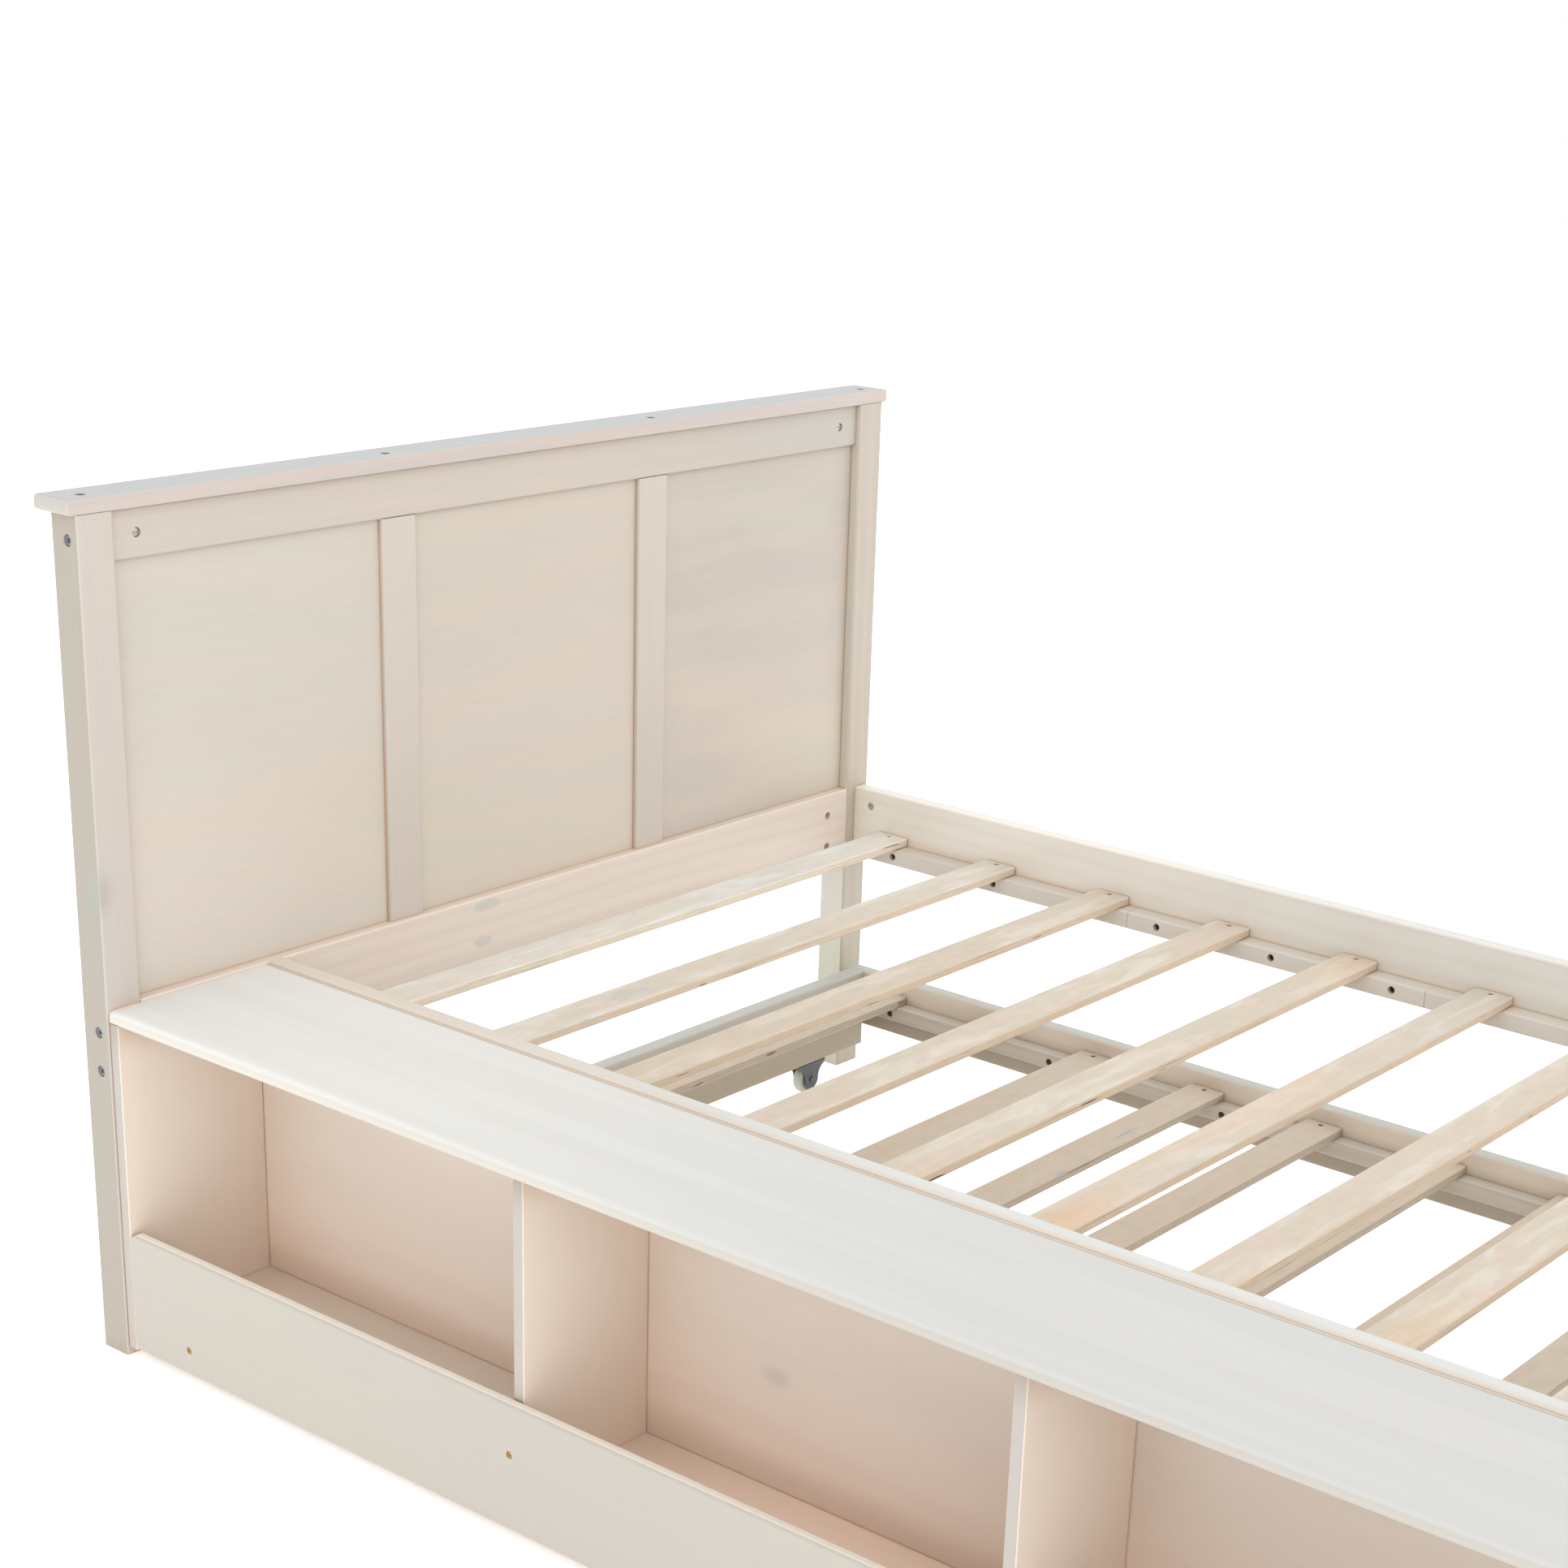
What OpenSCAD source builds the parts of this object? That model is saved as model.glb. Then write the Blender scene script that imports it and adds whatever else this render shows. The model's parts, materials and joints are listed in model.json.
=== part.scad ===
// Platform bed with a panelled headboard, an open bookcase along one long side
// and a slatted trundle on casters that rolls out from under the other side.
// +Y points to the headboard, -X to the bookcase, and z = 0 is the floor.
// "Near" pieces lie on the bookcase side and "far" pieces on the trundle's side.

/* [Mattress and deck] */
// Clear width between the two side rails
deck_w = 1000; // [900:10:1100]
// Clear length between headboard and footboard
deck_len = 1920; // [1880:10:2050]
// Height of the top face of the slats
deck_top = 346; // [340:1:350]
// Width of one slat
slat_w = 50; // [40:1:70]
// Thickness of one slat
slat_t = 11; // [9:0.5:13]
// Distance from the headboard to the middle of the first slat
slat_first = 69.5; // [50:0.5:90]
// Gap between the end of a slat and the rail
slat_gap = 1.5; // [0.5:0.5:3]
// Plan radius of a slat's corners
slat_corner_r = 3; // [1:0.5:6]

/* [Posts and rails] */
// Width of a post, across the bed
post_w = 44; // [40:1:60]
// Depth of a post, along the bed
post_d = 40; // [38:1:50]
// Height of a headboard post
post_h = 907.5; // [850:0.5:1000]
// Height of a footboard post
foot_post_h = 425; // [405:1:480]
// Thickness of a side rail
rail_t = 21; // [19:1:26]
// Height of a side rail
rail_h = 96; // [92:1:105]
// Height of the top edge of the rails above the floor
rail_top = 399; // [395:1:410]
// Setback of the far side rail from the outer face of its post
rail_setback = 5; // [3:1:10]
// Height of the lower rail of the headboard and of the footboard's rail
cross_rail_h = 99; // [94:1:110]
// Thickness of these two rails
cross_rail_t = 28; // [26:1:34]
// Rounding along the edges of posts, rails and slats
edge_r = 2.5; // [1:0.5:3]

/* [Headboard] */
// Height of the top rail
top_rail_h = 51.5; // [46:0.5:80]
// Thickness of the top rail and of the stiles
frame_t = 18; // [17:0.5:22]
// Setback of the top rail and the stiles from the face of the posts
frame_setback = 7.5; // [5:0.5:9]
// Width of a stile
stile_w = 50; // [35:1:70]
// Setback of the panels from the face of the stiles
panel_setback = 6; // [4:0.5:8]
// Thickness of a panel
panel_t = 5.5; // [4:0.5:6]
// Depth of the groove that holds a panel
groove = 8; // [5:1:10]
// Height of the cap
cap_t = 16; // [14:1:22]
// Depth of the cap from front to back
cap_d = 53; // [52:1:70]
// Overhang of the cap past each post
cap_over = 10; // [5:1:20]
// Rounding of the cap's ends
cap_end_r = 6; // [3:0.5:6.5]
// Distance between the two middle screws of the cap
cap_screw_span = 422; // [300:2:500]

/* [Ledgers] */
// Width of the bed's ledgers
ledger_w = 27; // [24:1:32]
// Height of the bed's ledgers
ledger_h = 22; // [18:1:24]
// Length of one ledger strip
ledger_len = 420; // [380:10:600]
// Free length of rail before the first strip
ledger_start = 45; // [40:1:60]
// Gap between two strips
strip_gap = 0.5; // [0:0.5:2]
// Distance of the outer screws from the ends of a strip
ledger_screw_in = 44; // [30:1:50]

/* [Bookcase] */
// Depth of the bookcase from the edge of its top board to the side rail
case_d = 215.5; // [200:0.5:245]
// Setback of its top board from the outer face of the posts
case_setback = 1.5; // [0.5:0.5:12]
// Thickness of its boards
board_t = 13.5; // [12:0.5:16]
// Height of the top face of its top board
case_top = 396.5; // [388:0.5:398]
// Overhang of the top board past the end boards
top_over = 1; // [0.5:0.1:4]
// Plan radius of the front corners of the top board
top_corner_r = 3; // [1:0.5:20]
// Rounding of the front edge of the top board
top_edge_r = 8; // [3:0.5:8]
// Rounding below that edge
top_under_r = 4; // [1:0.5:4]
// Clear width of the compartment beside the headboard
bay_1_w = 561; // [480:1:600]
// Clear width of the middle compartment
bay_2_w = 560; // [480:1:600]
// Height of the shelf's top face
shelf_top = 46.5; // [40:0.5:60]
// Height of the front board
front_h = 138; // [110:1:160]
// Height of the boards' lower edges above the floor
front_foot = 10; // [6:1:25]
// Gap between each end board and the end of the front board
front_gap = 1; // [0.5:0.5:4]
// Rounding of the front board's edges
front_edge_r = 4.5; // [2:0.5:5.5]
// Rounding of the front board's four corners, seen from the front
front_corner_r = 8; // [2:0.5:12]
// Thickness of the back panel
back_t = 5; // [3:0.5:6]
// Width and height of the cleat that joins the top board to the side rail
cleat_s = 22; // [18:1:26]

/* [Trundle] */
// Setback of the far rail from the outer face of the posts
trundle_setback = 26; // [20:1:45]
// Gap between the trundle's near rail and the bookcase's back
trundle_back_gap = 10; // [5:1:40]
// Gap between each end of the trundle and the posts
trundle_gap = 19.5; // [10:0.5:30]
// Thickness of the trundle's side rails
trundle_rail_t = 19; // [16:1:24]
// Height of the trundle's side rails
trundle_rail_h = 77.5; // [70:0.5:90]
// Thickness of the trundle's head and foot rails
trundle_end_t = 23; // [22:0.5:26]
// Height of the trundle's head and foot rails
trundle_end_h = 106.5; // [100:0.5:115]
// Height of the trundle's top edge above its slats
trundle_lip = 18.5; // [12:0.5:25]
// Width of the trundle's ledgers
trundle_ledger_w = 23; // [20:1:28]
// Height of the trundle's ledgers
trundle_ledger_h = 20; // [18:1:24]
// Distance from the trundle's end to the middle of its first slat
trundle_slat_first = 75; // [60:0.5:90]
// Spacing of the trundle's slats
trundle_pitch = 168.5; // [120:0.5:200]
// Rounding of the trundle rails' edges
trundle_edge_r = 3; // [1:0.5:4]

/* [Casters] */
// Diameter of a wheel
wheel_d = 40; // [34:1:44]
// Width of a wheel's tread
tread_w = 14; // [12:0.5:15]
// Thickness of the fork's sheet steel
fork_t = 2; // [1.5:0.5:2.5]
// Width of the fork over its side plates
fork_w = 22; // [21.5:0.5:22]
// Length of the fork's top plate
fork_len = 54; // [48:1:64]
// Width of a side plate at the axle
fork_foot = 26; // [20:1:30]
// Diameter of the axle
axle_d = 6; // [5:0.5:7]
// Distance from the trundle's side rail to the middle of a caster
caster_in = 105; // [60:1:200]
// Gap between the wheel and the plate above it
wheel_gap = 2; // [1:0.5:3]

/* [Fasteners] */
// Diameter of the frame bolts
bolt_d = 6; // [5:0.5:6.5]
// Diameter of their heads
bolt_head_d = 12; // [10:0.5:13]
// Height of their heads
bolt_head_h = 5; // [4:0.5:6]
// Diameter of a barrel nut
nut_d = 10; // [9:0.5:11]
// Distance from a post to the barrel nuts of the top rail
top_nut_set = 33; // [25:1:45]
// Distance from a post to the barrel nuts of the lower rails
low_nut_set = 39; // [25:1:45]
// Distance from a side rail's end to its barrel nuts
rail_nut_set = 28; // [22:1:40]
// Spacing of the two bolts in one joint
bolt_pitch = 43; // [38:1:46]
// Diameter of the wood screws' shanks
screw_d = 4; // [3:0.5:4.5]
// Height of the screws' heads
screw_head_h = 3; // [2:0.5:4]
// Diameter of the cap screws' heads
cap_head_d = 10; // [8:0.5:11]
// Diameter of the ledger and trundle frame screws' heads
ledger_head_d = 9; // [7:0.5:10]
// Diameter of the slat and caster screws' heads
slat_head_d = 6.5; // [5.5:0.5:8]
// Diameter of the bookcase screws' heads
case_head_d = 7.5; // [6:0.5:9]
// Radial play of bolts, nuts and screws in their holes
play = 0.2; // [0.1:0.05:0.3]

/* [Hidden] */

// Colours of the finishes
wash = [0.90, 0.86, 0.80];
wash_cool = [0.89, 0.88, 0.85];
panel_tone = [0.87, 0.82, 0.75];
slat_tone = [0.87, 0.80, 0.70];
zinc = [0.62, 0.64, 0.67];
brass_tone = [0.72, 0.58, 0.30];
caster_grey = [0.45, 0.49, 0.55];
wheel_tone = [0.78, 0.78, 0.74];

// Faces in a circle
round_fn = 48;
// Slats in the bed, each its own piece
slats = 11;
// Play of panels in their grooves, at the faces and at the edges
panel_play = 0.3;
panel_gap = 0.5;
// Easing of the cap's long edges, of its plan corners and of the bookcase's boards
cap_edge_r = 1.5;
cap_corner_r = 3;
board_edge_r = 1.5;
// Depth of bolt heads, barrel nuts, those in the lower rails, and screw heads below the surface
head_sink = 1;
nut_sink = 2;
low_nut_sink = 8;
screw_sink = 0.5;
// Distance of the bolts from the front faces of the posts, and of the cap screws
bolt_line = 15;
cap_screw_y = 20;
// Length of a bolt past its nut's axis, and of a nut past its bolt's axis
bolt_past = 5;
nut_past = 7;
// Width of the slot in a barrel nut's end
nut_slot = 1.5;
// Share of a head's height that its socket takes
socket_share = 0.6;
// Drop of the cross rails' bolts below the middle, and wall between them and the side rails' bolts
bolt_drop = 1.5;
bolt_wall = 1.5;
// Depth of the bores in the ledgers, which let short screws reach the rail
ledger_bore = 8;
// Drop of a ledger's screws below its top face
ledger_screw_drop = 10;
// How far each kind of screw bites
cap_bite = 20;
rail_bite = 13;
slat_bite = 7;
board_bite = 9;
shelf_bite = 22;
corner_bite = 30;
trundle_rail_bite = 12;
caster_bite = 14;
// Distance of a slat's screws from its ends
slat_screw_in = 9;
// First screw of the shelf from a post, and height of a divider's screw above the shelf
shelf_screw_in = 103;
divider_screw_up = 47;
// Screws of the cleat: number, distance from a post, and step from upright to level ones
cleat_screws = 4;
cleat_screw_in = 150;
cleat_screw_step = 40;
// Screws of the trundle's ledgers and the corner screws' distance from the rail's edges
trundle_screw_first = 88;
trundle_screw_step = 264;
corner_screw_in = 18;
// Wheel: rounding of the tread's edges, hub, dish between hub and tread, and running play
tread_r = 3;
hub_d = 14;
hub_proud = 1;
dish_d = 31;
dish_depth = 2.5;
axle_play = 0.08;
// Rivet heads of the axle, the fork's straight lip and its screws' distance from the middle
axle_head_h = 1.5;
axle_head_step = 3;
fork_lip = 2;
fork_screw_in = 8;

// Across the bed
bed_w = case_setback + case_d + rail_t + deck_w + rail_t + rail_setback;
x_near = -bed_w / 2;
x_far = bed_w / 2;
x_case = x_near + case_setback;
x_case_back = x_case + case_d;
x_deck = x_case_back + rail_t;
x_deck_far = x_deck + deck_w;
rail_x = [x_case_back, x_deck_far];
head_opening = bed_w - 2 * post_w;
panel_w = (head_opening - 2 * stile_w) / 3;
leg_x = x_case_back + (rail_t - post_w) / 2;

// Along the bed, with the middle between the cap's back and the footboard posts' outer faces
y_head = (deck_len + post_d - cap_d) / 2;
y_foot = y_head - deck_len;
panel_y = y_head + frame_setback + panel_setback;

// Heights of rails, ledgers and bolts
rail_bottom = rail_top - rail_h;
cross_bottom = rail_top - cross_rail_h;
ledger_top = deck_top - slat_t;
ledger_screw_z = ledger_top - ledger_screw_drop;
top_rail_z = post_h - top_rail_h;
top_bolt_z = post_h - top_rail_h / 2;
cap_top = post_h + cap_t;
// Bolts along X, and bolts along Y that pass above and below them
cross_bolt_heights = [for (s = [-1, 1]) cross_bottom + (cross_rail_h + s * bolt_pitch) / 2 - bolt_drop];
rail_bolt_heights = [cross_bolt_heights[0] - bolt_d - bolt_wall, cross_bolt_heights[1] + bolt_d + bolt_wall];
rail_nut_len = rail_t / 2 - nut_sink + nut_past;
cap_screw_x = [x_near + post_w / 2, -cap_screw_span / 2, cap_screw_span / 2, x_far - post_w / 2];

// Ledger strips and slats
strips = ceil((deck_len - 2 * ledger_start) / ledger_len);
slat_pitch = (deck_len - 2 * slat_first) / (slats - 1);
function slat_y(i) = y_head - slat_first - (i - 1) * slat_pitch;
function strip_begin(i) = y_head - ledger_start - i * ledger_len;
function strip_end(i) = max(strip_begin(i) - ledger_len, y_foot + ledger_start);
function strip_screws(i) = strip_begin(i) - strip_end(i) < 3 * ledger_screw_in
  ? [(strip_begin(i) + strip_end(i)) / 2]
  : [strip_begin(i) - ledger_screw_in, (strip_begin(i) + strip_end(i)) / 2, strip_end(i) + ledger_screw_in];
ledger_screw_y = [for (i = [0 : strips - 1]) each strip_screws(i)];

// Bookcase
x_upright = x_case + top_over;
x_shelf = x_upright + board_t;
x_cleat = x_case_back - cleat_s;
x_back = x_cleat - back_t;
upright_top = case_top - board_t;
front_y = y_foot + board_t + front_gap;
front_len = deck_len - 2 * (board_t + front_gap);
divider_y = [y_head - board_t - bay_1_w, y_head - 2 * board_t - bay_1_w - bay_2_w];
shelf_screw_y = [y_head - shelf_screw_in, y_foot + shelf_screw_in];
divider_screw_z = shelf_top + divider_screw_up;
case_screws = concat([for (y = shelf_screw_y) [y, shelf_top - board_t / 2]],
  [for (y = divider_y) [y - board_t / 2, divider_screw_z]]);
cleat_z = upright_top - cleat_s / 2;
cleat_screw_y = [for (i = [0 : cleat_screws - 1])
  y_head - cleat_screw_in - i * (deck_len - 2 * cleat_screw_in) / (cleat_screws - 1)];

// Trundle
trundle_end_bottom = wheel_d + wheel_gap + fork_t;
trundle_top = trundle_end_bottom + trundle_end_h;
trundle_deck = trundle_top - trundle_lip;
trundle_x = [x_back + back_t + trundle_back_gap + trundle_rail_t, x_far - trundle_setback - trundle_rail_t];
trundle_y = [y_foot + trundle_gap, y_head - trundle_gap];
trundle_mid_x = (trundle_x[0] + trundle_x[1]) / 2;
trundle_half = (trundle_x[1] - trundle_x[0]) / 2;
trundle_len = trundle_y[1] - trundle_y[0];
trundle_rail_bottom = trundle_top - trundle_rail_h;
trundle_ledger_top = trundle_deck - slat_t;
trundle_ledger_z = trundle_ledger_top - ledger_screw_drop;
trundle_slat_y = [for (y = [trundle_slat_first : trundle_pitch : trundle_len - trundle_slat_first])
  trundle_y[1] - y];
trundle_ledger_y = [for (y = [trundle_screw_first : trundle_screw_step : trundle_len - trundle_screw_first])
  trundle_y[1] - y];
corner_screw_z = [trundle_rail_bottom + corner_screw_in, trundle_top - corner_screw_in];

// Casters
caster_x = [trundle_x[0] + caster_in, trundle_x[1] - caster_in];
caster_y = [trundle_y[0] + trundle_end_t / 2, trundle_y[1] - trundle_end_t / 2];
axle_z = wheel_d / 2;
fork_drop = wheel_d / 2 + wheel_gap;
fork_screw_x = [-fork_len / 2 + fork_screw_in, fork_len / 2 - fork_screw_in];

// Rounded rectangle with its lower left corner at the origin
module rounded(w, h, r) {
  translate([r, 0]) square([w - 2 * r, h]);
  translate([0, r]) square([w, h - 2 * r]);
  for (x = [r, w - r], y = [r, h - r]) translate([x, y]) circle(r, $fn = round_fn);
}

// Bars with rounded long edges, along X, Y or Z, from corner p with size s
module bar_x(p, s, r = edge_r)
  translate(p) rotate([90, 0, 90]) linear_extrude(s[0]) rounded(s[1], s[2], r);
module bar_y(p, s, r = edge_r)
  translate([p[0], p[1] + s[1], p[2]]) rotate([90, 0, 0]) linear_extrude(s[1]) rounded(s[0], s[2], r);
module bar_z(p, s, r = edge_r) translate(p) linear_extrude(s[2]) rounded(s[0], s[1], r);

// Round bars along +X, +Y or +Z from point p
module rod_x(p, d, l) translate(p) rotate([0, 90, 0]) cylinder(d = d, h = l, $fn = round_fn);
module rod_y(p, d, l) translate(p) rotate([-90, 0, 0]) cylinder(d = d, h = l, $fn = round_fn);
module rod_z(p, d, l) translate(p) cylinder(d = d, h = l, $fn = round_fn);

// Mirrors across x = 0 where side is negative
module flip(side) {
  if (side < 0) mirror([1, 0, 0]) children();
  else children();
}

// Mirrors what is drawn at the headboard to the footboard
module at_foot() translate([0, y_head + y_foot, 0]) mirror([0, 1, 0]) children();

// Socket head bolt or screw along -Z, the top face of its head at the origin
module fastener(head_d, head_h, d, l, socket)
  difference() {
    union() {
      translate([0, 0, -head_h]) cylinder(d = head_d, h = head_h, $fn = round_fn);
      translate([0, 0, -l]) cylinder(d = d, h = l, $fn = round_fn);
    }
    translate([0, 0, -head_h * socket_share]) cylinder(d = socket, h = head_h, $fn = 6);
  }

// Headboard

// One headboard post, its outer face at x and facing dir, with a groove for the panel beside it
module headboard_post(x, dir)
  color(wash) translate([x, y_head, 0]) flip(dir) difference() {
    bar_z([0, 0, 0], [post_w, post_d, post_h]);
    // Groove for the panel's edge
    translate([post_w - groove, frame_setback + panel_setback - panel_play, rail_top - groove])
      cube([groove + 1, panel_t + 2 * panel_play, top_rail_z - rail_top + 2 * groove]);
    // Bolts into both cross rails
    for (z = cross_bolt_heights) cross_bolt_hole(z);
    cross_bolt_hole(top_bolt_z);
    // Cap screw
    rod_z([post_w / 2, cap_screw_y, post_h - cap_bite], screw_d + 2 * play, cap_bite + 1);
    // Side rail bolts, which exist at the far post only
    if (dir < 0) for (z = rail_bolt_heights) rail_bolt_hole(rail_setback + rail_t / 2, z, post_d);
  }

// Bore with a counterbore for a bolt that enters at x = 0 and runs along +X
module cross_bolt_hole(z) {
  rod_x([-1, bolt_line, z], bolt_d + 2 * play, post_w + 2);
  rod_x([-1, bolt_line, z], bolt_head_d + 2 * play, bolt_head_h + head_sink + 1);
}

// Bore with a counterbore for a bolt that enters at y = depth and runs along -Y
module rail_bolt_hole(x, z, depth) {
  rod_y([x, -1, z], bolt_d + 2 * play, depth + 2);
  rod_y([x, depth - bolt_head_h - head_sink, z], bolt_head_d + 2 * play, bolt_head_h + head_sink + 1);
}

module headboard_post_near() headboard_post(x_near, 1);
module headboard_post_far() headboard_post(x_far, -1);

// Cap with bullnosed ends and eased long edges, held by four screws from above
module headboard_cap()
  color(wash_cool) difference() {
    intersection() {
      bar_x([x_near - cap_over, y_head, post_h], [bed_w + 2 * cap_over, cap_d, cap_t], cap_edge_r);
      translate([x_near - cap_over, y_head + cap_d, post_h]) rotate([90, 0, 0])
        linear_extrude(cap_d) rounded(bed_w + 2 * cap_over, cap_t, cap_end_r);
      translate([x_near - cap_over, y_head, post_h])
        linear_extrude(cap_t) rounded(bed_w + 2 * cap_over, cap_d, cap_corner_r);
    }
    for (x = cap_screw_x) {
      rod_z([x, y_head + cap_screw_y, post_h - 1], screw_d + 2 * play, cap_t + 2);
      rod_z([x, y_head + cap_screw_y, cap_top - screw_head_h - screw_sink],
        cap_head_d + 2 * play, screw_head_h + 1);
    }
  }

// Top rail with a groove below for the panels and a barrel nut near each end
module headboard_top_rail()
  color(wash) difference() {
    bar_x([x_near + post_w, y_head + frame_setback, top_rail_z], [head_opening, frame_t, top_rail_h]);
    translate([x_near + post_w - 1, panel_y - panel_play, top_rail_z - 1])
      cube([head_opening + 2, panel_t + 2 * panel_play, groove + 1]);
    for (s = [-1, 1]) flip(s) {
      rod_x([-x_far + post_w - 1, y_head + bolt_line, top_bolt_z],
        bolt_d + 2 * play, top_nut_set + bolt_past + 1);
      rod_y([-x_far + post_w + top_nut_set, y_head + frame_setback - 1, top_bolt_z],
        nut_d + 2 * play, bolt_line - frame_setback + nut_past + 1);
    }
    for (x = [cap_screw_x[1], cap_screw_x[2]])
      rod_z([x, y_head + cap_screw_y, post_h - cap_bite], screw_d + 2 * play, cap_bite + 1);
  }

// Cross rail between two posts, drawn for the headboard: front face on the posts' front faces.
// Its barrel nuts lie near both ends, and bolts for the near side rail pass through it.
module cross_rail(grooved)
  difference() {
    bar_x([x_near + post_w, y_head, cross_bottom], [head_opening, cross_rail_t, cross_rail_h]);
    if (grooved) translate([x_near + post_w - 1, panel_y - panel_play, rail_top - groove])
      cube([head_opening + 2, panel_t + 2 * panel_play, groove + 1]);
    for (s = [-1, 1], z = cross_bolt_heights) flip(s) {
      rod_x([-x_far + post_w - 1, y_head + bolt_line, z], bolt_d + 2 * play, low_nut_set + bolt_past + 1);
      rod_y([-x_far + post_w + low_nut_set, y_head - 1, z], nut_d + 2 * play, bolt_line + nut_past + 1);
    }
    for (z = rail_bolt_heights)
      translate([0, y_head, 0]) rail_bolt_hole(rail_x[0] + rail_t / 2, z, cross_rail_t);
  }
module headboard_lower_rail() color(wash) cross_rail(true);
module footboard_rail() color(wash) at_foot() cross_rail(false);

// Upright between two panels, with a stub tenon at each end and a groove in each side
module stile(x)
  color(wash) translate([x, y_head + frame_setback, 0]) difference() {
    union() {
      bar_z([0, 0, rail_top], [stile_w, frame_t, top_rail_z - rail_top]);
      translate([groove, panel_setback, rail_top - groove])
        cube([stile_w - 2 * groove, panel_t, top_rail_z - rail_top + 2 * groove]);
    }
    for (g = [-1, stile_w - groove]) translate([g, panel_setback - panel_play, rail_top - 1])
      cube([groove + 1, panel_t + 2 * panel_play, top_rail_z - rail_top + 2]);
  }
module headboard_stile_near() stile(x_near + post_w + panel_w);
module headboard_stile_far() stile(x_near + post_w + 2 * panel_w + stile_w);

// Panel number i from the near post, resting in the groove of the lower rail
module panel(i)
  color(panel_tone)
    translate([x_near + post_w + i * (panel_w + stile_w) - groove + panel_gap, panel_y, rail_top - groove])
      cube([panel_w + 2 * (groove - panel_gap), panel_t, top_rail_z - rail_top + 2 * groove - panel_gap]);
module headboard_panel_near() panel(0);
module headboard_panel_middle() panel(1);
module headboard_panel_far() panel(2);

// Leg below a cross rail, beside the near side rail
module inner_leg() bar_z([leg_x, y_head, 0], [post_w, post_d, cross_bottom]);
module headboard_inner_leg() color(wash) inner_leg();
module footboard_inner_leg() color(wash) at_foot() inner_leg();

// Footboard

// Low post with a domed top edge, its outer face at x and facing dir
module footboard_post(x, dir)
  color(wash) at_foot() translate([x, y_head, 0]) flip(dir) difference() {
    intersection() {
      bar_z([0, 0, 0], [post_w, post_d, foot_post_h]);
      bar_x([0, 0, -edge_r], [post_w, post_d, foot_post_h + edge_r], 2 * edge_r);
      bar_y([0, 0, -edge_r], [post_w, post_d, foot_post_h + edge_r], 2 * edge_r);
    }
    for (z = cross_bolt_heights) cross_bolt_hole(z);
    if (dir < 0) for (z = rail_bolt_heights) rail_bolt_hole(rail_setback + rail_t / 2, z, post_d);
  }
module footboard_post_near() footboard_post(x_near, 1);
module footboard_post_far() footboard_post(x_far, -1);

// Side rails and ledgers

// Side rail with its inner face at x and facing dir, with two barrel nuts near each end
module side_rail(x, dir)
  color(wash) difference() {
    bar_y([min(x, x - dir * rail_t), y_foot, rail_bottom], [rail_t, deck_len, rail_h]);
    for (z = rail_bolt_heights) rail_joint_holes(x, dir, z);
    for (z = rail_bolt_heights) at_foot() rail_joint_holes(x, dir, z);
    for (y = ledger_screw_y) rod_x([dir > 0 ? x - rail_bite : x - 1, y, ledger_screw_z],
      screw_d + 2 * play, rail_bite + 1);
    if (dir > 0) for (y = cleat_screw_y) rod_x([x_case_back - 1, y + cleat_screw_step, cleat_z],
      screw_d + 2 * play, rail_bite + 1);
  }

// Bore for a bolt in a rail's end and the bore of its barrel nut
module rail_joint_holes(x, dir, z) {
  rod_y([x - dir * rail_t / 2, y_head - rail_nut_set - bolt_past, z],
    bolt_d + 2 * play, rail_nut_set + bolt_past + 1);
  rod_x([dir > 0 ? x - rail_nut_len - nut_sink : x - 1, y_head - rail_nut_set, z],
    nut_d + 2 * play, rail_nut_len + nut_sink + 1);
}
module side_rail_near() side_rail(x_deck, 1);
module side_rail_far() side_rail(x_deck_far, -1);

// Row of ledger strips on the rail whose inner face is at x, with three screws in each
module ledger(x, dir)
  color(wash_cool) for (i = [0 : strips - 1]) difference() {
    bar_y([min(x, x + dir * ledger_w), strip_end(i), ledger_top - ledger_h],
      [ledger_w, strip_begin(i) - strip_end(i) - strip_gap, ledger_h]);
    for (y = strip_screws(i)) {
      rod_x([min(x, x + dir * ledger_w) - 1, y, ledger_screw_z], screw_d + 2 * play, ledger_w + 2);
      rod_x([x + dir * (ledger_w - ledger_bore) + (dir < 0 ? -ledger_bore - 1 : 0), y, ledger_screw_z],
        ledger_head_d + 2 * play, ledger_bore + 1);
    }
    // Pilot holes of the slat screws
    for (j = [1 : slats]) if (slat_y(j) < strip_begin(i) && slat_y(j) > strip_end(i))
      rod_z([x + dir * (slat_gap + slat_screw_in), slat_y(j), ledger_top - slat_bite],
        screw_d + 2 * play, slat_bite + 1);
  }
module ledger_near() ledger(x_deck, 1);
module ledger_far() ledger(x_deck_far, -1);

// Slat between x = a and x = b at height top, centred on y, with a screw hole near each end
module slat(a, b, y, top)
  color(slat_tone) difference() {
    intersection() {
      bar_x([a, y - slat_w / 2, top - slat_t], [b - a, slat_w, slat_t]);
      translate([a, y - slat_w / 2, top - slat_t]) linear_extrude(slat_t)
        rounded(b - a, slat_w, slat_corner_r);
    }
    for (x = [a + slat_screw_in, b - slat_screw_in]) {
      rod_z([x, y, top - slat_t - 1], screw_d + 2 * play, slat_t + 2);
      rod_z([x, y, top - screw_head_h - screw_sink], slat_head_d + 2 * play, screw_head_h + 1);
    }
  }
module bed_slat(i) slat(x_deck + slat_gap, x_deck_far - slat_gap, slat_y(i), deck_top);

// Bookcase

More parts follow.
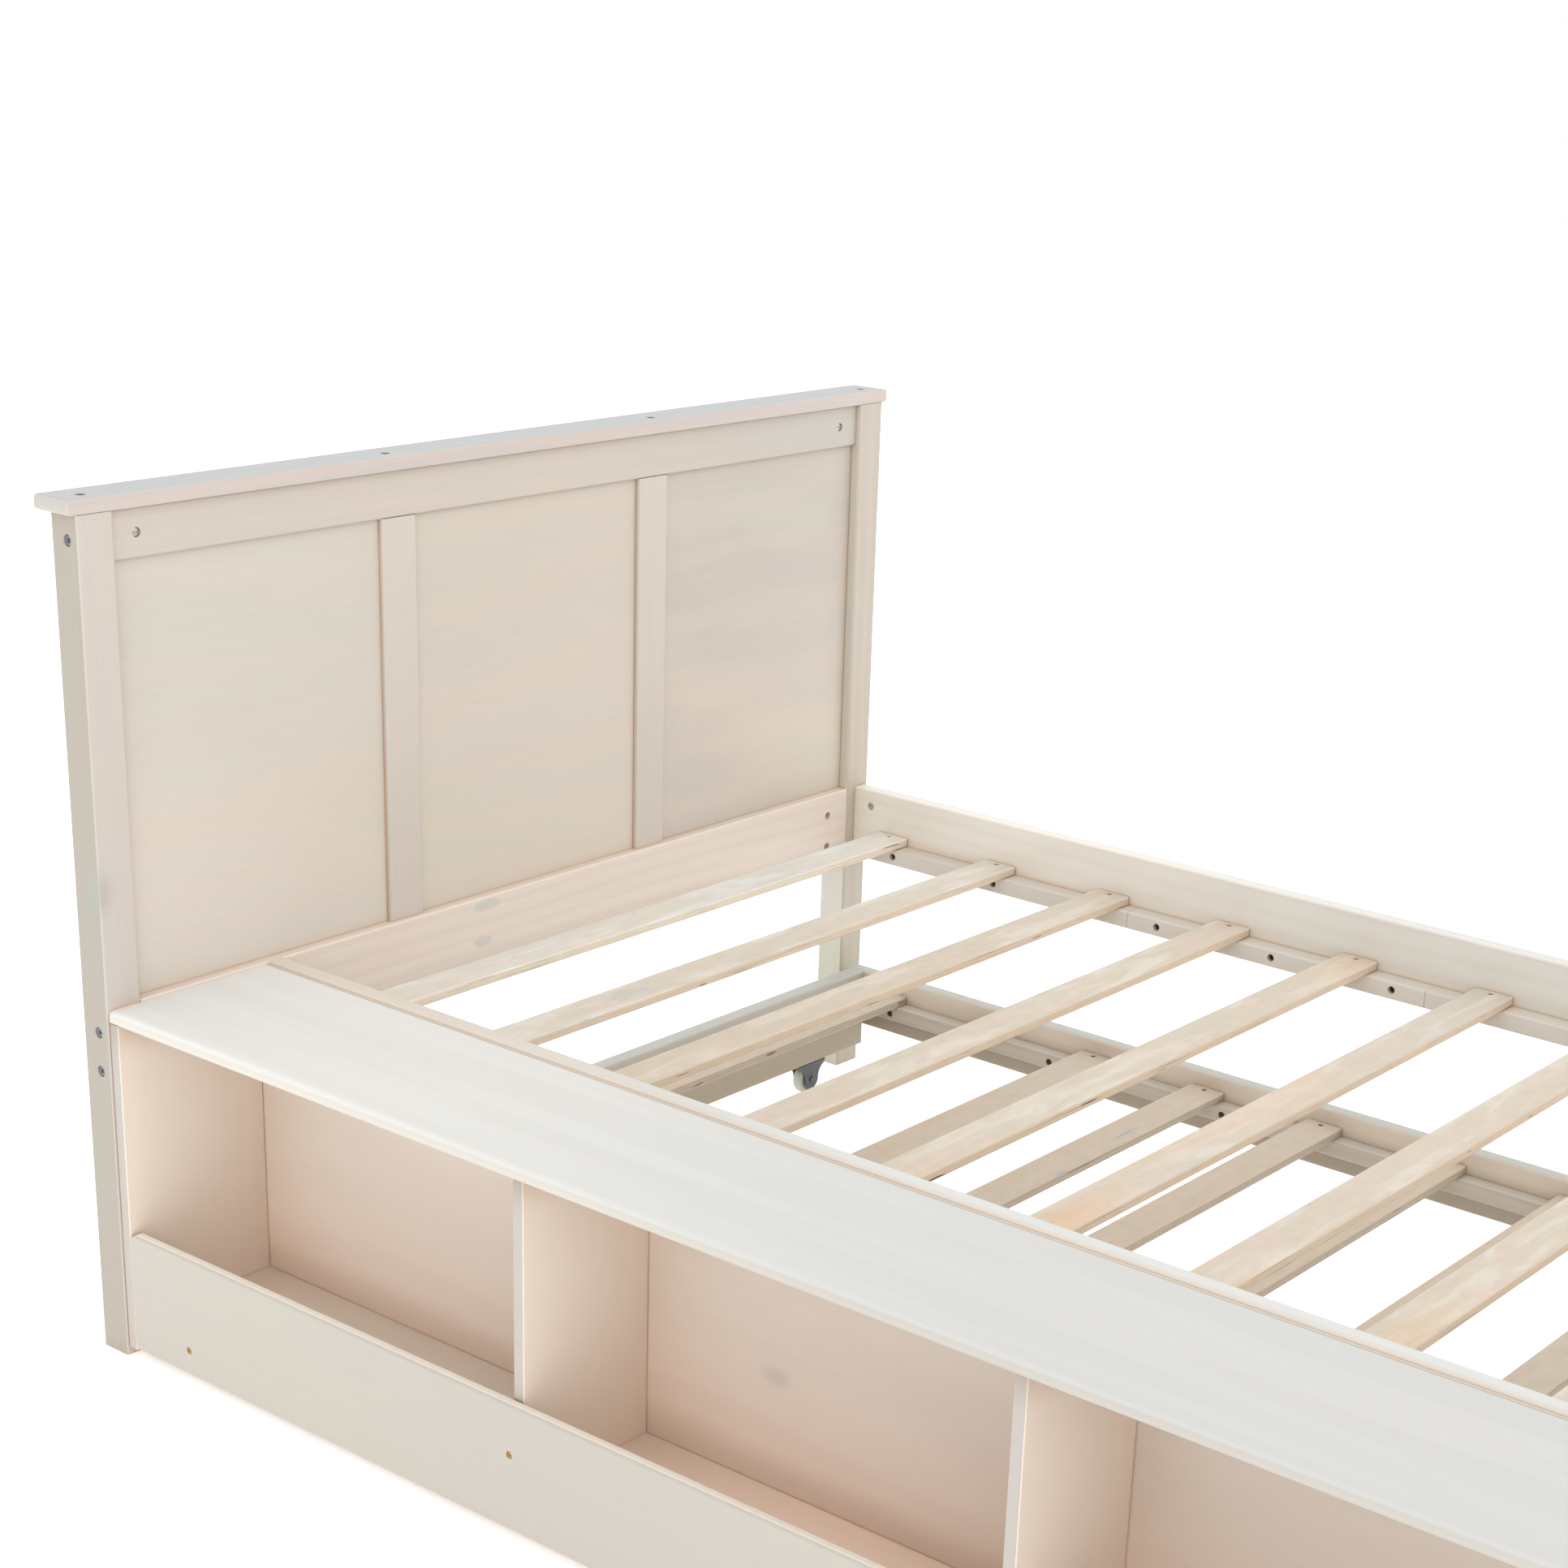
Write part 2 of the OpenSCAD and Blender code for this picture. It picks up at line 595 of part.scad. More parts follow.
// Outline of a board seen from its end, with its nose at x = 0
module nosed(w, h, r_top, r_low) difference() {
  square([w, h]);
  nick(r_low);
  translate([0, h]) mirror([0, 1]) nick(r_top);
}
module nick(r) difference() {
  translate([-1, -1]) square(r + 1);
  translate([r, r]) circle(r, $fn = round_fn);
}

// Top board: nosed along the front, with both front corners eased in plan
module bookcase_top()
  color(wash_cool) difference() {
    intersection() {
      translate([x_case, y_head, upright_top]) rotate([90, 0, 0])
        linear_extrude(deck_len) nosed(case_d, board_t, top_edge_r, top_under_r);
      translate([x_case, y_foot, upright_top]) linear_extrude(board_t) difference() {
        square([case_d, deck_len]);
        nick(top_corner_r);
        translate([0, deck_len]) mirror([0, 1]) nick(top_corner_r);
      }
    }
    for (y = cleat_screw_y)
      rod_z([x_cleat + cleat_s / 2, y, upright_top - 1], screw_d + 2 * play, board_bite + 1);
  }

// Upright board from front edge x, with its head-side face at y and its lower edge at z.
// The end boards reach the front board's face, and the dividers stop at its back.
module upright(x, y, z)
  bar_z([x, y - board_t, z], [x_back - x, board_t, upright_top - z], board_edge_r);
module bookcase_end_head() color(wash) upright(x_upright, y_head, front_foot);
module bookcase_end_foot() color(wash) upright(x_upright, y_foot + board_t, front_foot);
module divider(y)
  color(wash) difference() {
    upright(x_shelf, y, shelf_top);
    rod_x([x_shelf - 1, y - board_t / 2, divider_screw_z], screw_d + 2 * play, shelf_bite + 1);
  }
module bookcase_divider_1() divider(divider_y[0]);
module bookcase_divider_2() divider(divider_y[1]);

module bookcase_back()
  color(panel_tone) translate([x_back, y_foot, front_foot])
    cube([back_t, deck_len, upright_top - front_foot]);

// Bottom shelf between the two end boards
module bookcase_shelf()
  color(wash) difference() {
    bar_y([x_shelf, y_foot + board_t, shelf_top - board_t],
      [x_back - x_shelf, deck_len - 2 * board_t, board_t], board_edge_r);
    for (y = shelf_screw_y)
      rod_x([x_shelf - 1, y, shelf_top - board_t / 2], screw_d + 2 * play, shelf_bite + 1);
  }

// Front board between the end boards, with rounded edges and corners, screwed to shelf and dividers
module bookcase_front_board()
  color(wash) difference() {
    intersection() {
      bar_y([x_upright, front_y, front_foot], [board_t, front_len, front_h], front_edge_r);
      bar_x([x_upright, front_y, front_foot], [board_t, front_len, front_h], front_corner_r);
    }
    for (p = case_screws) {
      rod_x([x_upright - 1, p[0], p[1]], screw_d + 2 * play, board_t + 2);
      rod_x([x_upright - 1, p[0], p[1]], case_head_d + 2 * play, screw_head_h + screw_sink + 1);
    }
  }

// Cleat behind the back panel, screwed to the near side rail and to the top board
module bookcase_cleat()
  color(wash_cool) difference() {
    bar_y([x_cleat, y_foot, upright_top - cleat_s], [cleat_s, deck_len, cleat_s], board_edge_r);
    for (y = cleat_screw_y) {
      rod_z([x_cleat + cleat_s / 2, y, upright_top - cleat_s - 1], screw_d + 2 * play, cleat_s + 2);
      rod_z([x_cleat + cleat_s / 2, y, upright_top - cleat_s - 1],
        case_head_d + 2 * play, screw_head_h + screw_sink + 1);
      rod_x([x_cleat - 1, y + cleat_screw_step, cleat_z], screw_d + 2 * play, cleat_s + 2);
      rod_x([x_cleat - 1, y + cleat_screw_step, cleat_z],
        case_head_d + 2 * play, screw_head_h + screw_sink + 1);
    }
  }

// Trundle

// Head rail of the trundle, with bores for the corner screws and the caster screws
module trundle_end_rail()
  difference() {
    bar_x([trundle_x[0], trundle_y[1] - trundle_end_t, trundle_end_bottom],
      [trundle_x[1] - trundle_x[0], trundle_end_t, trundle_end_h], trundle_edge_r);
    for (s = [-1, 1], z = corner_screw_z) translate([trundle_mid_x, 0, 0]) flip(s)
      rod_x([trundle_half - corner_bite, caster_y[1], z], screw_d + 2 * play, corner_bite + 1);
    for (x = caster_x, dx = fork_screw_x)
      rod_z([x + dx, caster_y[1], trundle_end_bottom - 1], screw_d + 2 * play, caster_bite + 1);
  }
module trundle_head_rail() color(wash) trundle_end_rail();
module trundle_foot_rail() color(wash) at_foot() trundle_end_rail();

// Side rail of the trundle, outside the inner faces at x and facing dir
module trundle_side_rail(x, dir)
  color(wash) difference() {
    bar_y([min(x, x + dir * trundle_rail_t), trundle_y[0], trundle_rail_bottom],
      [trundle_rail_t, trundle_y[1] - trundle_y[0], trundle_rail_h], trundle_edge_r);
    for (y = caster_y, z = corner_screw_z) {
      rod_x([min(x, x + dir * trundle_rail_t) - 1, y, z], screw_d + 2 * play, trundle_rail_t + 2);
      rod_x([x + dir * (trundle_rail_t - screw_head_h - screw_sink) + (dir < 0 ? -trundle_rail_t : 0), y, z],
        ledger_head_d + 2 * play, trundle_rail_t);
    }
    for (y = trundle_ledger_y)
      rod_x([min(x, x + dir * trundle_rail_bite) - (dir > 0 ? 1 : 0), y, trundle_ledger_z],
        screw_d + 2 * play, trundle_rail_bite + 1);
  }
module trundle_near_rail() trundle_side_rail(trundle_x[0], -1);
module trundle_far_rail() trundle_side_rail(trundle_x[1], 1);

// Two ledgers that carry the trundle's slats
module trundle_ledgers()
  color(wash_cool) for (s = [-1, 1]) translate([trundle_mid_x, 0, 0]) flip(s) difference() {
    bar_y([trundle_half - trundle_ledger_w, trundle_y[0] + trundle_end_t,
      trundle_ledger_top - trundle_ledger_h],
      [trundle_ledger_w, trundle_y[1] - trundle_y[0] - 2 * trundle_end_t, trundle_ledger_h]);
    for (y = trundle_ledger_y) {
      rod_x([trundle_half - trundle_ledger_w - 1, y, trundle_ledger_z],
        screw_d + 2 * play, trundle_ledger_w + 2);
      rod_x([trundle_half - trundle_ledger_w - 1, y, trundle_ledger_z],
        ledger_head_d + 2 * play, screw_head_h + screw_sink + 1);
    }
    for (y = trundle_slat_y)
      rod_z([trundle_half - slat_gap - slat_screw_in, y, trundle_ledger_top - slat_bite],
        screw_d + 2 * play, slat_bite + 1);
  }
module trundle_slats()
  for (y = trundle_slat_y) slat(trundle_x[0] + slat_gap, trundle_x[1] - slat_gap, y, trundle_deck);

// Casters

// Side plate of a fork, seen along Y, with its axle at the origin
module fork_plate() {
  flare = (fork_len - fork_foot) / 2;
  rise = fork_drop - fork_lip;
  sweep_r = (flare * flare + rise * rise) / (2 * flare);
  sweep_a = asin(rise / sweep_r);
  difference() {
    polygon(concat(arc([0, 0], fork_foot / 2, 180, 360),
      arc([fork_foot / 2 + sweep_r, 0], sweep_r, 180, 180 - sweep_a),
      [[fork_len / 2, fork_drop], [-fork_len / 2, fork_drop]],
      arc([-fork_foot / 2 - sweep_r, 0], sweep_r, sweep_a, 0)));
    circle(d = axle_d + 2 * play, $fn = round_fn);
  }
}
// Points on an arc of radius r about c, from angle a to angle b, without its last point
function arc(c, r, a, b) = [for (i = [0 : round_fn / 4 - 1])
  c + r * [cos(a + (b - a) * i * 4 / round_fn), sin(a + (b - a) * i * 4 / round_fn)]];

// Fork folded from sheet steel, its axle at the origin
module fork()
  difference() {
    union() {
      for (y = [-fork_w / 2 + fork_t, fork_w / 2]) translate([0, y, 0]) rotate([90, 0, 0])
        linear_extrude(fork_t) fork_plate();
      translate([-fork_len / 2, -fork_w / 2, fork_drop]) cube([fork_len, fork_w, fork_t]);
    }
    for (x = fork_screw_x) rod_z([x, 0, fork_drop - 1], screw_d + 2 * play, fork_t + 2);
  }
module at_casters() for (x = caster_x, y = caster_y) translate([x, y, axle_z]) children();
module caster_forks() color(caster_grey) at_casters() fork();

// Riveted axles with a head on each side of the fork
module caster_axles()
  color(zinc) at_casters() {
    rod_y([0, -fork_w / 2 - axle_head_h, 0], axle_d, fork_w + 2 * axle_head_h);
    for (y = [-fork_w / 2 - axle_head_h, fork_w / 2]) rod_y([0, y, 0], axle_d + axle_head_step, axle_head_h);
  }

// Wheel with rounded tread edges, a hub that stands proud and a dish between them
module wheel(x, y)
  color(wheel_tone) translate([x, y, axle_z]) rotate([90, 0, 0])
    rotate_extrude($fn = 2 * round_fn) difference() {
    union() {
      translate([wheel_d / 2, -tread_w / 2]) mirror([1, 0]) nosed(wheel_d / 2, tread_w, tread_r, tread_r);
      translate([0, -tread_w / 2 - hub_proud]) square([hub_d / 2, tread_w + 2 * hub_proud]);
    }
    translate([-1, -tread_w]) square([axle_d / 2 + axle_play + 1, 2 * tread_w]);
    for (s = [-1, 1]) translate([(hub_d + dish_d) / 4, s * tread_w / 2])
      square([(dish_d - hub_d) / 2, 2 * dish_depth], center = true);
  }
module caster_wheel_near_head() wheel(caster_x[0], caster_y[1]);
module caster_wheel_near_foot() wheel(caster_x[0], caster_y[0]);
module caster_wheel_far_head() wheel(caster_x[1], caster_y[1]);
module caster_wheel_far_foot() wheel(caster_x[1], caster_y[0]);

// Fasteners

// Each points a fastener that runs along -Z along another direction
module along_x(p) translate(p) rotate([0, -90, 0]) children();
module along_back_x(p) translate(p) rotate([0, 90, 0]) children();
module along_back_y(p) translate(p) rotate([-90, 0, 0]) children();
module along_z(p) translate(p) rotate([180, 0, 0]) children();

module bolt(l) fastener(bolt_head_d, bolt_head_h, bolt_d, l, bolt_d);
module screw(l, head_d) fastener(head_d, screw_head_h, screw_d, l, head_d / 2);

// Bolts of the headboard's rails; low ones are repeated at the footboard
module cross_bolts(heights, l) for (z = heights) {
  along_x([x_near + head_sink, y_head + bolt_line, z]) bolt(l);
  along_back_x([x_far - head_sink, y_head + bolt_line, z]) bolt(l);
}
// Bolts through a cross rail or a far post into the end of each side rail
module rail_bolts() for (z = rail_bolt_heights) {
  along_back_y([rail_x[0] + rail_t / 2, y_head + cross_rail_t - head_sink, z])
    bolt(cross_rail_t - head_sink + rail_nut_set + bolt_past);
  along_back_y([rail_x[1] + rail_t / 2, y_head + post_d - head_sink, z])
    bolt(post_d - head_sink + rail_nut_set + bolt_past);
}
module bed_bolts()
  color(zinc) {
    cross_bolts([top_bolt_z], post_w - head_sink + top_nut_set + bolt_past);
    cross_bolts(cross_bolt_heights, post_w - head_sink + low_nut_set + bolt_past);
    rail_bolts();
    at_foot() {
      cross_bolts(cross_bolt_heights, post_w - head_sink + low_nut_set + bolt_past);
      rail_bolts();
    }
  }

// Slotted barrel nut of length l from its visible end at the origin along -Z, bored across for the bolt
module barrel_nut(l, bolt_at)
  difference() {
    translate([0, 0, -l]) cylinder(d = nut_d, h = l, $fn = round_fn);
    translate([-nut_d, 0, -bolt_at]) rotate([0, 90, 0])
      cylinder(d = bolt_d + 2 * play, h = 2 * nut_d, $fn = round_fn);
    translate([-nut_d, -nut_slot / 2, -nut_slot]) cube([2 * nut_d, nut_slot, 2 * nut_slot]);
  }
module cross_nuts(x_set, y, heights) for (s = [-1, 1], z = heights)
  translate([s * (x_far - post_w - x_set), y, z]) rotate([90, 0, 0])
    barrel_nut(y_head + bolt_line + nut_past - y, y_head + bolt_line - y);
module rail_nuts() for (i = [0, 1], z = rail_bolt_heights)
  translate([i == 0 ? x_deck - nut_sink : x_deck_far + nut_sink, y_head - rail_nut_set, z])
    rotate([0, i == 0 ? 90 : -90, 0]) rotate([0, 0, 90]) barrel_nut(rail_nut_len, rail_t / 2 - nut_sink);
module barrel_nuts()
  color(zinc) {
    cross_nuts(top_nut_set, y_head + frame_setback + nut_sink, [top_bolt_z]);
    cross_nuts(low_nut_set, y_head + low_nut_sink, cross_bolt_heights);
    rail_nuts();
    at_foot() {
      cross_nuts(low_nut_set, y_head + low_nut_sink, cross_bolt_heights);
      rail_nuts();
    }
  }

// Screws through the bed's ledgers, sunk deep in their bores
module ledger_screws()
  color(zinc) for (y = ledger_screw_y) {
    along_back_x([x_deck + ledger_w - ledger_bore + screw_head_h, y, ledger_screw_z])
      screw(ledger_w - ledger_bore + screw_head_h + rail_bite, ledger_head_d);
    along_x([x_deck_far - ledger_w + ledger_bore - screw_head_h, y, ledger_screw_z])
      screw(ledger_w - ledger_bore + screw_head_h + rail_bite, ledger_head_d);
  }
// Places of a slat's two screws between rails whose inner faces are at span[0] and span[1]
function slat_screws_x(span) = [span[0] + slat_gap + slat_screw_in, span[1] - slat_gap - slat_screw_in];
module slat_screws()
  color(zinc) for (i = [1 : slats], x = slat_screws_x([x_deck, x_deck_far]))
    translate([x, slat_y(i), deck_top - screw_sink]) screw(slat_t - screw_sink + slat_bite, slat_head_d);
module cap_screws()
  color(zinc) for (x = cap_screw_x) translate([x, y_head + cap_screw_y, cap_top - screw_sink])
    screw(cap_t - screw_sink + cap_bite, cap_head_d);
module bookcase_screws()
  color(brass_tone) {
    for (p = case_screws) along_x([x_upright + screw_sink, p[0], p[1]])
      screw(board_t - screw_sink + shelf_bite, case_head_d);
    for (y = cleat_screw_y) {
      along_z([x_cleat + cleat_s / 2, y, upright_top - cleat_s + screw_sink])
        screw(cleat_s - screw_sink + board_bite, case_head_d);
      along_x([x_cleat + screw_sink, y + cleat_screw_step, cleat_z])
        screw(cleat_s - screw_sink + rail_bite, case_head_d);
    }
  }

// Screws at the trundle's corners and up through the forks
module trundle_frame_screws()
  color(zinc) {
    for (y = caster_y, z = corner_screw_z) {
      along_x([trundle_x[0] - trundle_rail_t + screw_sink, y, z])
        screw(trundle_rail_t - screw_sink + corner_bite, ledger_head_d);
      along_back_x([trundle_x[1] + trundle_rail_t - screw_sink, y, z])
        screw(trundle_rail_t - screw_sink + corner_bite, ledger_head_d);
    }
    at_casters() for (x = fork_screw_x) along_z([x, 0, fork_drop - screw_head_h])
      screw(screw_head_h + fork_t + caster_bite, slat_head_d);
  }
module trundle_ledger_screws()
  color(zinc) for (y = trundle_ledger_y) {
    along_back_x([trundle_x[0] + trundle_ledger_w - screw_sink, y, trundle_ledger_z])
      screw(trundle_ledger_w - screw_sink + trundle_rail_bite, ledger_head_d);
    along_x([trundle_x[1] - trundle_ledger_w + screw_sink, y, trundle_ledger_z])
      screw(trundle_ledger_w - screw_sink + trundle_rail_bite, ledger_head_d);
  }
module trundle_slat_screws()
  color(zinc) for (y = trundle_slat_y, x = slat_screws_x(trundle_x))
    translate([x, y, trundle_deck - screw_sink]) screw(slat_t - screw_sink + slat_bite, slat_head_d);

headboard_post_near();
headboard_post_far();
headboard_cap();
headboard_top_rail();
headboard_lower_rail();
headboard_panel_near();
headboard_panel_middle();
headboard_panel_far();
headboard_stile_near();
headboard_stile_far();
headboard_inner_leg();
footboard_post_near();
footboard_post_far();
footboard_rail();
footboard_inner_leg();
side_rail_near();
side_rail_far();
ledger_near();
ledger_far();
for (i = [1 : slats]) bed_slat(i);
bookcase_top();
bookcase_end_head();
bookcase_end_foot();
bookcase_divider_1();
bookcase_divider_2();
bookcase_back();
bookcase_shelf();
bookcase_front_board();
bookcase_cleat();
trundle_head_rail();
trundle_foot_rail();
trundle_near_rail();
trundle_far_rail();
trundle_ledgers();
trundle_slats();
caster_forks();
caster_axles();
caster_wheel_near_head();
caster_wheel_near_foot();
caster_wheel_far_head();
caster_wheel_far_foot();
bed_bolts();
barrel_nuts();
ledger_screws();
slat_screws();
cap_screws();
bookcase_screws();
trundle_frame_screws();
trundle_ledger_screws();
trundle_slat_screws();
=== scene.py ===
"""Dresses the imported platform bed: washed and bare woods, screws, bolts, barrel nuts and casters."""

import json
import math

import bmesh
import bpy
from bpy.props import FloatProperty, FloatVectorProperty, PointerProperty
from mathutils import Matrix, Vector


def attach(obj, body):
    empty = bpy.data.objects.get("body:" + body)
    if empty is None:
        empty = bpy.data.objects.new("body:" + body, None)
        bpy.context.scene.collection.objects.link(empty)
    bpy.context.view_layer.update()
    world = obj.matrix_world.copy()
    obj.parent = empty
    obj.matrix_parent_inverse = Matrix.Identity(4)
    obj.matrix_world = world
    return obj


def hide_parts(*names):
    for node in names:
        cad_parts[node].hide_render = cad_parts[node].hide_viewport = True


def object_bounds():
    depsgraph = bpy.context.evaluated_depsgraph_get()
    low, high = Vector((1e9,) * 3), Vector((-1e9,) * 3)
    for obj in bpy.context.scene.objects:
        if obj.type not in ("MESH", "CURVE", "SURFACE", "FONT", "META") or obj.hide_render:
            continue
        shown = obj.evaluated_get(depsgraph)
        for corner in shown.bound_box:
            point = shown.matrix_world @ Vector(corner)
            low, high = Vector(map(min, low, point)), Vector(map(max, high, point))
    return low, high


bl_info = {
    "name": "Platform Bed Dresser",
    "version": (1, 0, 0),
    "blender": (4, 5, 0),
    "location": "3D Viewport > Sidebar > Bed",
    "description": "Finishes, fasteners, casters and stage for the platform bed with a trundle",
    "category": "Object",
}

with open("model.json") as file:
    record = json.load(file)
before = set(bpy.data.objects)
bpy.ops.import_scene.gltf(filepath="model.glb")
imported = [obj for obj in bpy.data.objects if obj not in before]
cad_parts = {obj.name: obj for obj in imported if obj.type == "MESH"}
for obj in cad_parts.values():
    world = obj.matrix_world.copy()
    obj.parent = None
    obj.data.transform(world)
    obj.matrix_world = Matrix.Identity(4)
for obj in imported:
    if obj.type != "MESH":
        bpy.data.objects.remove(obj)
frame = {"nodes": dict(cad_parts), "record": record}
CAD_LOW, CAD_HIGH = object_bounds()

# Groups of nodes that share a finish and the direction of their grain
NEAR_POSTS = ["headboard_post_near", "footboard_post_near"]
FAR_POSTS = ["headboard_post_far", "footboard_post_far", "headboard_inner_leg", "footboard_inner_leg"]
STILES = ["headboard_stile_near", "headboard_stile_far"]
CROSS_RAILS = ["headboard_top_rail", "headboard_lower_rail", "footboard_rail"]
LEDGERS = ["ledger_near", "ledger_far", "bookcase_cleat"]
PANEL_SHARES = {"headboard_panel_near": 1.0, "headboard_panel_middle": 0.97, "headboard_panel_far": 0.86}
UPRIGHTS = ["bookcase_end_head", "bookcase_end_foot", "bookcase_divider_1", "bookcase_divider_2"]
BED_SLATS = ["bed_slat_%d" % slat for slat in range(1, 12)]
TRUNDLE_CROSS = ["trundle_head_rail", "trundle_foot_rail"]
TRUNDLE_LONG = ["trundle_near_rail", "trundle_far_rail"]
WHEELS = ["caster_wheel_near_head", "caster_wheel_near_foot", "caster_wheel_far_head",
          "caster_wheel_far_foot"]

SCREW_NODES = ["slat_screws", "ledger_screws", "cap_screws", "bookcase_screws", "trundle_frame_screws",
               "trundle_ledger_screws", "trundle_slat_screws"]

# Turned fasteners: their sides, the stretch that counts as one end in metres, how near the largest
# radius the widest points lie, and the angle that stays sharp
SIDES = 48
NEAR_END = 0.0035
WIDEST = 0.97
SHARP = math.radians(35)
# Points closer than this are one, in metres, and the digits that set the order of solids
WELD = 1e-6
ORDER_DIGITS = 5
# A fastener's point as shares of its shank's radius: radius at the tip and length
POINT_RADIUS = 0.35
POINT_LENGTH = 1.5
# Rounding of a head: most of its height, share below the head, end of a nut, and steps above it
RIM_MOST = 0.4
RIM_BELOW = 0.3
NUT_END = 0.5
RIM_TURNS = 4
RIM_STEP = math.radians(30)
# A driver's recess: the dome's fall around it over its rise, halfway to the rim, how much it narrows,
# its rounded lip and the point below its floor, in metres
DOME_FALL = 0.4
HALFWAY = 0.5
RECESS_TAPER = 0.82
RECESS_LIP = 0.0001
RECESS_POINT = 0.0002
# Least sine or cosine that an outline divides by, and the reach of a nut's slot over its radius
NARROWEST = 1e-4
NUT_SLOT = 0.8

# Floor: half its side and its distance below the bed in metres, its cells, and its mottle and shine
FLOOR_HALF = 14.0
FLOOR_CLEAR = 0.0002
FLOOR_CELLS = 8
FLOOR_MOTTLE = (3.0, 3.0)
FLOOR_STEP = (0.3, 0.7, 0.985, 1.0)
FLOOR_ROUGHNESS = 0.7
WHITE = (1.0, 1.0, 1.0, 1.0)
# Soft lights: the stage's name for their strength, the direction toward them and their tint
LAMPS = (("key", (-0.2, -0.35, 1.0), (0.86, 0.94, 1.0)),
         ("side", (-1.0, -0.15, 0.45), (0.94, 0.98, 1.0)),
         ("foot", (-0.15, -1.0, 0.45), (1.0, 0.95, 0.90)),
         ("back", (0.9, 0.9, 0.5), (1.0, 1.0, 1.0)))

# Turns that lay a board's grain along the texture's own X, and how far the figure moves along, across
# and through from one board to the next, in metres
GRAIN_TURN = {"X": (0, 0, 0), "Y": (0, 0, math.radians(-90)), "Z": (0, math.radians(90), 0)}
BOARD_SHIFT = (7.3, 3.1, 5.7)

# In the names below, STEP, LIGHT and GLOSS hold two values of a pattern and, where there are four
# numbers, what it gives at each. Patterns that follow the grain have cells per metre along and across.
# Growth rings: how they wander, their lean through the board and the part of a wave that shows
RING_WANDER = (1.1, 5.0)
RING_SLANT = 0.7
RING_STEP = (-0.2, 1.0)
# Washed wood: fibres, pores, warm clouds, strokes of the brush and broad greener patches
WASH_FIBRE = (14.0, 480.0)
WASH_PORES = (45.0, 1500.0)
WASH_CLOUD = (2.2, 6.5)
WASH_STROKE = (1.4, 26.0)
WASH_BROAD = (1.5, 3.2)
WASH_WAVINESS = 3.2
BROAD_STEP = (0.42, 0.66)
CLOUD_STEP = (0.45, 0.75)
STROKE_STEP = (0.58, 0.82)
BRUSH_STEP = (0.35, 0.65)
BOARD_ROSY = (0.0, 1.0, 0.0, 0.12)
FIBRE_STEP = (0.25, 0.75)
STREAK_LIFT = 0.6
WASH_GLOSS = (0.2, 0.8, 0.51, 0.43)
# Share of the fibres in the surface's height, and the bump's strength and height in metres
FIBRE_HEIGHT = 0.6
WASH_BUMP = (0.06, 0.0005)
# Bare slats: fibres, ripple, heartwood, blush, silk, pin knots and rings
SLAT_FIBRE = (22.0, 700.0)
SLAT_RIPPLE = (40.0, 60.0)
SLAT_HEART = (1.6, 9.0)
SLAT_BLUSH = (14.0, 38.0)
SLAT_SILK = (5.0, 26.0)
SLAT_RINGS = 0.026
SLAT_WAVINESS = 5.0
SLAT_FIGURE = 0.09
HEART_REACH = (0.0, 1.0, 0.60, 0.44)
HEART_STEP = (0.0, 0.20)
BLUSH_STEP = (0.46, 0.64)
GREY_BOARDS = (0.55, 0.60, 0.0, 0.12)
PIN_CELLS = (2.4, 9.0, 9.0)
PIN_STEP = (0.030, 0.018, 0.0, 0.8)
SLAT_LIGHT = (0.965, 1.02)
RIPPLE_LIGHT = (0.3, 0.7, 0.97, 1.02)
SLAT_GLOSS = (0.2, 0.8, 0.62, 0.50)
SLAT_BUMP = (0.2, 0.0005)
# Edges of the slats: share of the edge tone, a ply's thickness in metres, plies, cracks, splits, voids
EDGE_SHARE = 0.6
EDGE_STEP = (0.6, 0.9)
PLY_SHEET = 0.0022
PLY_WANDER = (5.0, 40.0)
PLY_WAVINESS = 0.5
PLY_STEP = (0.25, 0.75)
PLY_SHARE = 0.55
CRACK_CELLS = (9.0, 900.0)
CRACK_STEP = (0.69, 0.76, 0.0, 0.75)
SPLIT_CELLS = (3.0, 8.0)
SPLIT_STEP = (0.58, 0.64, 0.0, 0.85)
SPLIT_WIDTH = (0.10, 0.04)
VOID_CELLS = (22.0, 260.0)
VOID_STEP = (0.80, 0.83, 0.0, 0.9)

# Metals and plastic: noises hold cells per metre, detail and roughness, and bumps strength and height
GLOSS_STEP = (0.3, 0.7)
PLATE_DARK = 0.62
PLATE_CLOUD = (900.0, 3.0, 0.6)
PLATE_STEP = (0.35, 0.7)
PLATE_BRIGHTER = 0.08
PLATE_DULLER = 0.12
PLATE_GRIT = (2600.0, 1.0)
PLATE_BUMP = (0.12, 0.0002)
PLATE_METAL = 0.6
PAINT_RUBBED = 1.7
PAINT_CLOUD = (120.0, 4.0, 0.6)
PAINT_STEP = (0.5, 0.75, 0.0, 0.6)
PAINT_GLOSS = (0.32, 0.5)
PAINT_GRIT = (1400.0, 1.0)
PAINT_BUMP = (0.15, 0.0003)
PAINT_METAL = 0.55
MOULD_DULL = 0.72
MOULD_SCUFF = (90.0, 4.0, 0.7)
MOULD_STEP = (0.5, 0.75, 0.0, 0.4)
MOULD_MOTTLE = (260.0, 3.0, 0.6)
MOULD_GLOSS = (0.38, 0.55)
MOULD_BUMP = (0.1, 0.0003)

# Faces that count as turned to an axis for painted face light and shade, and nearness of other boards that
# counts as a hollow, where painted shade goes
FACE_LIGHT_STEP = (0.75, 0.95)
CORNER_SHADE_STEP = (0.30, 0.95)
CORNER_SHADE_SAMPLES = 5

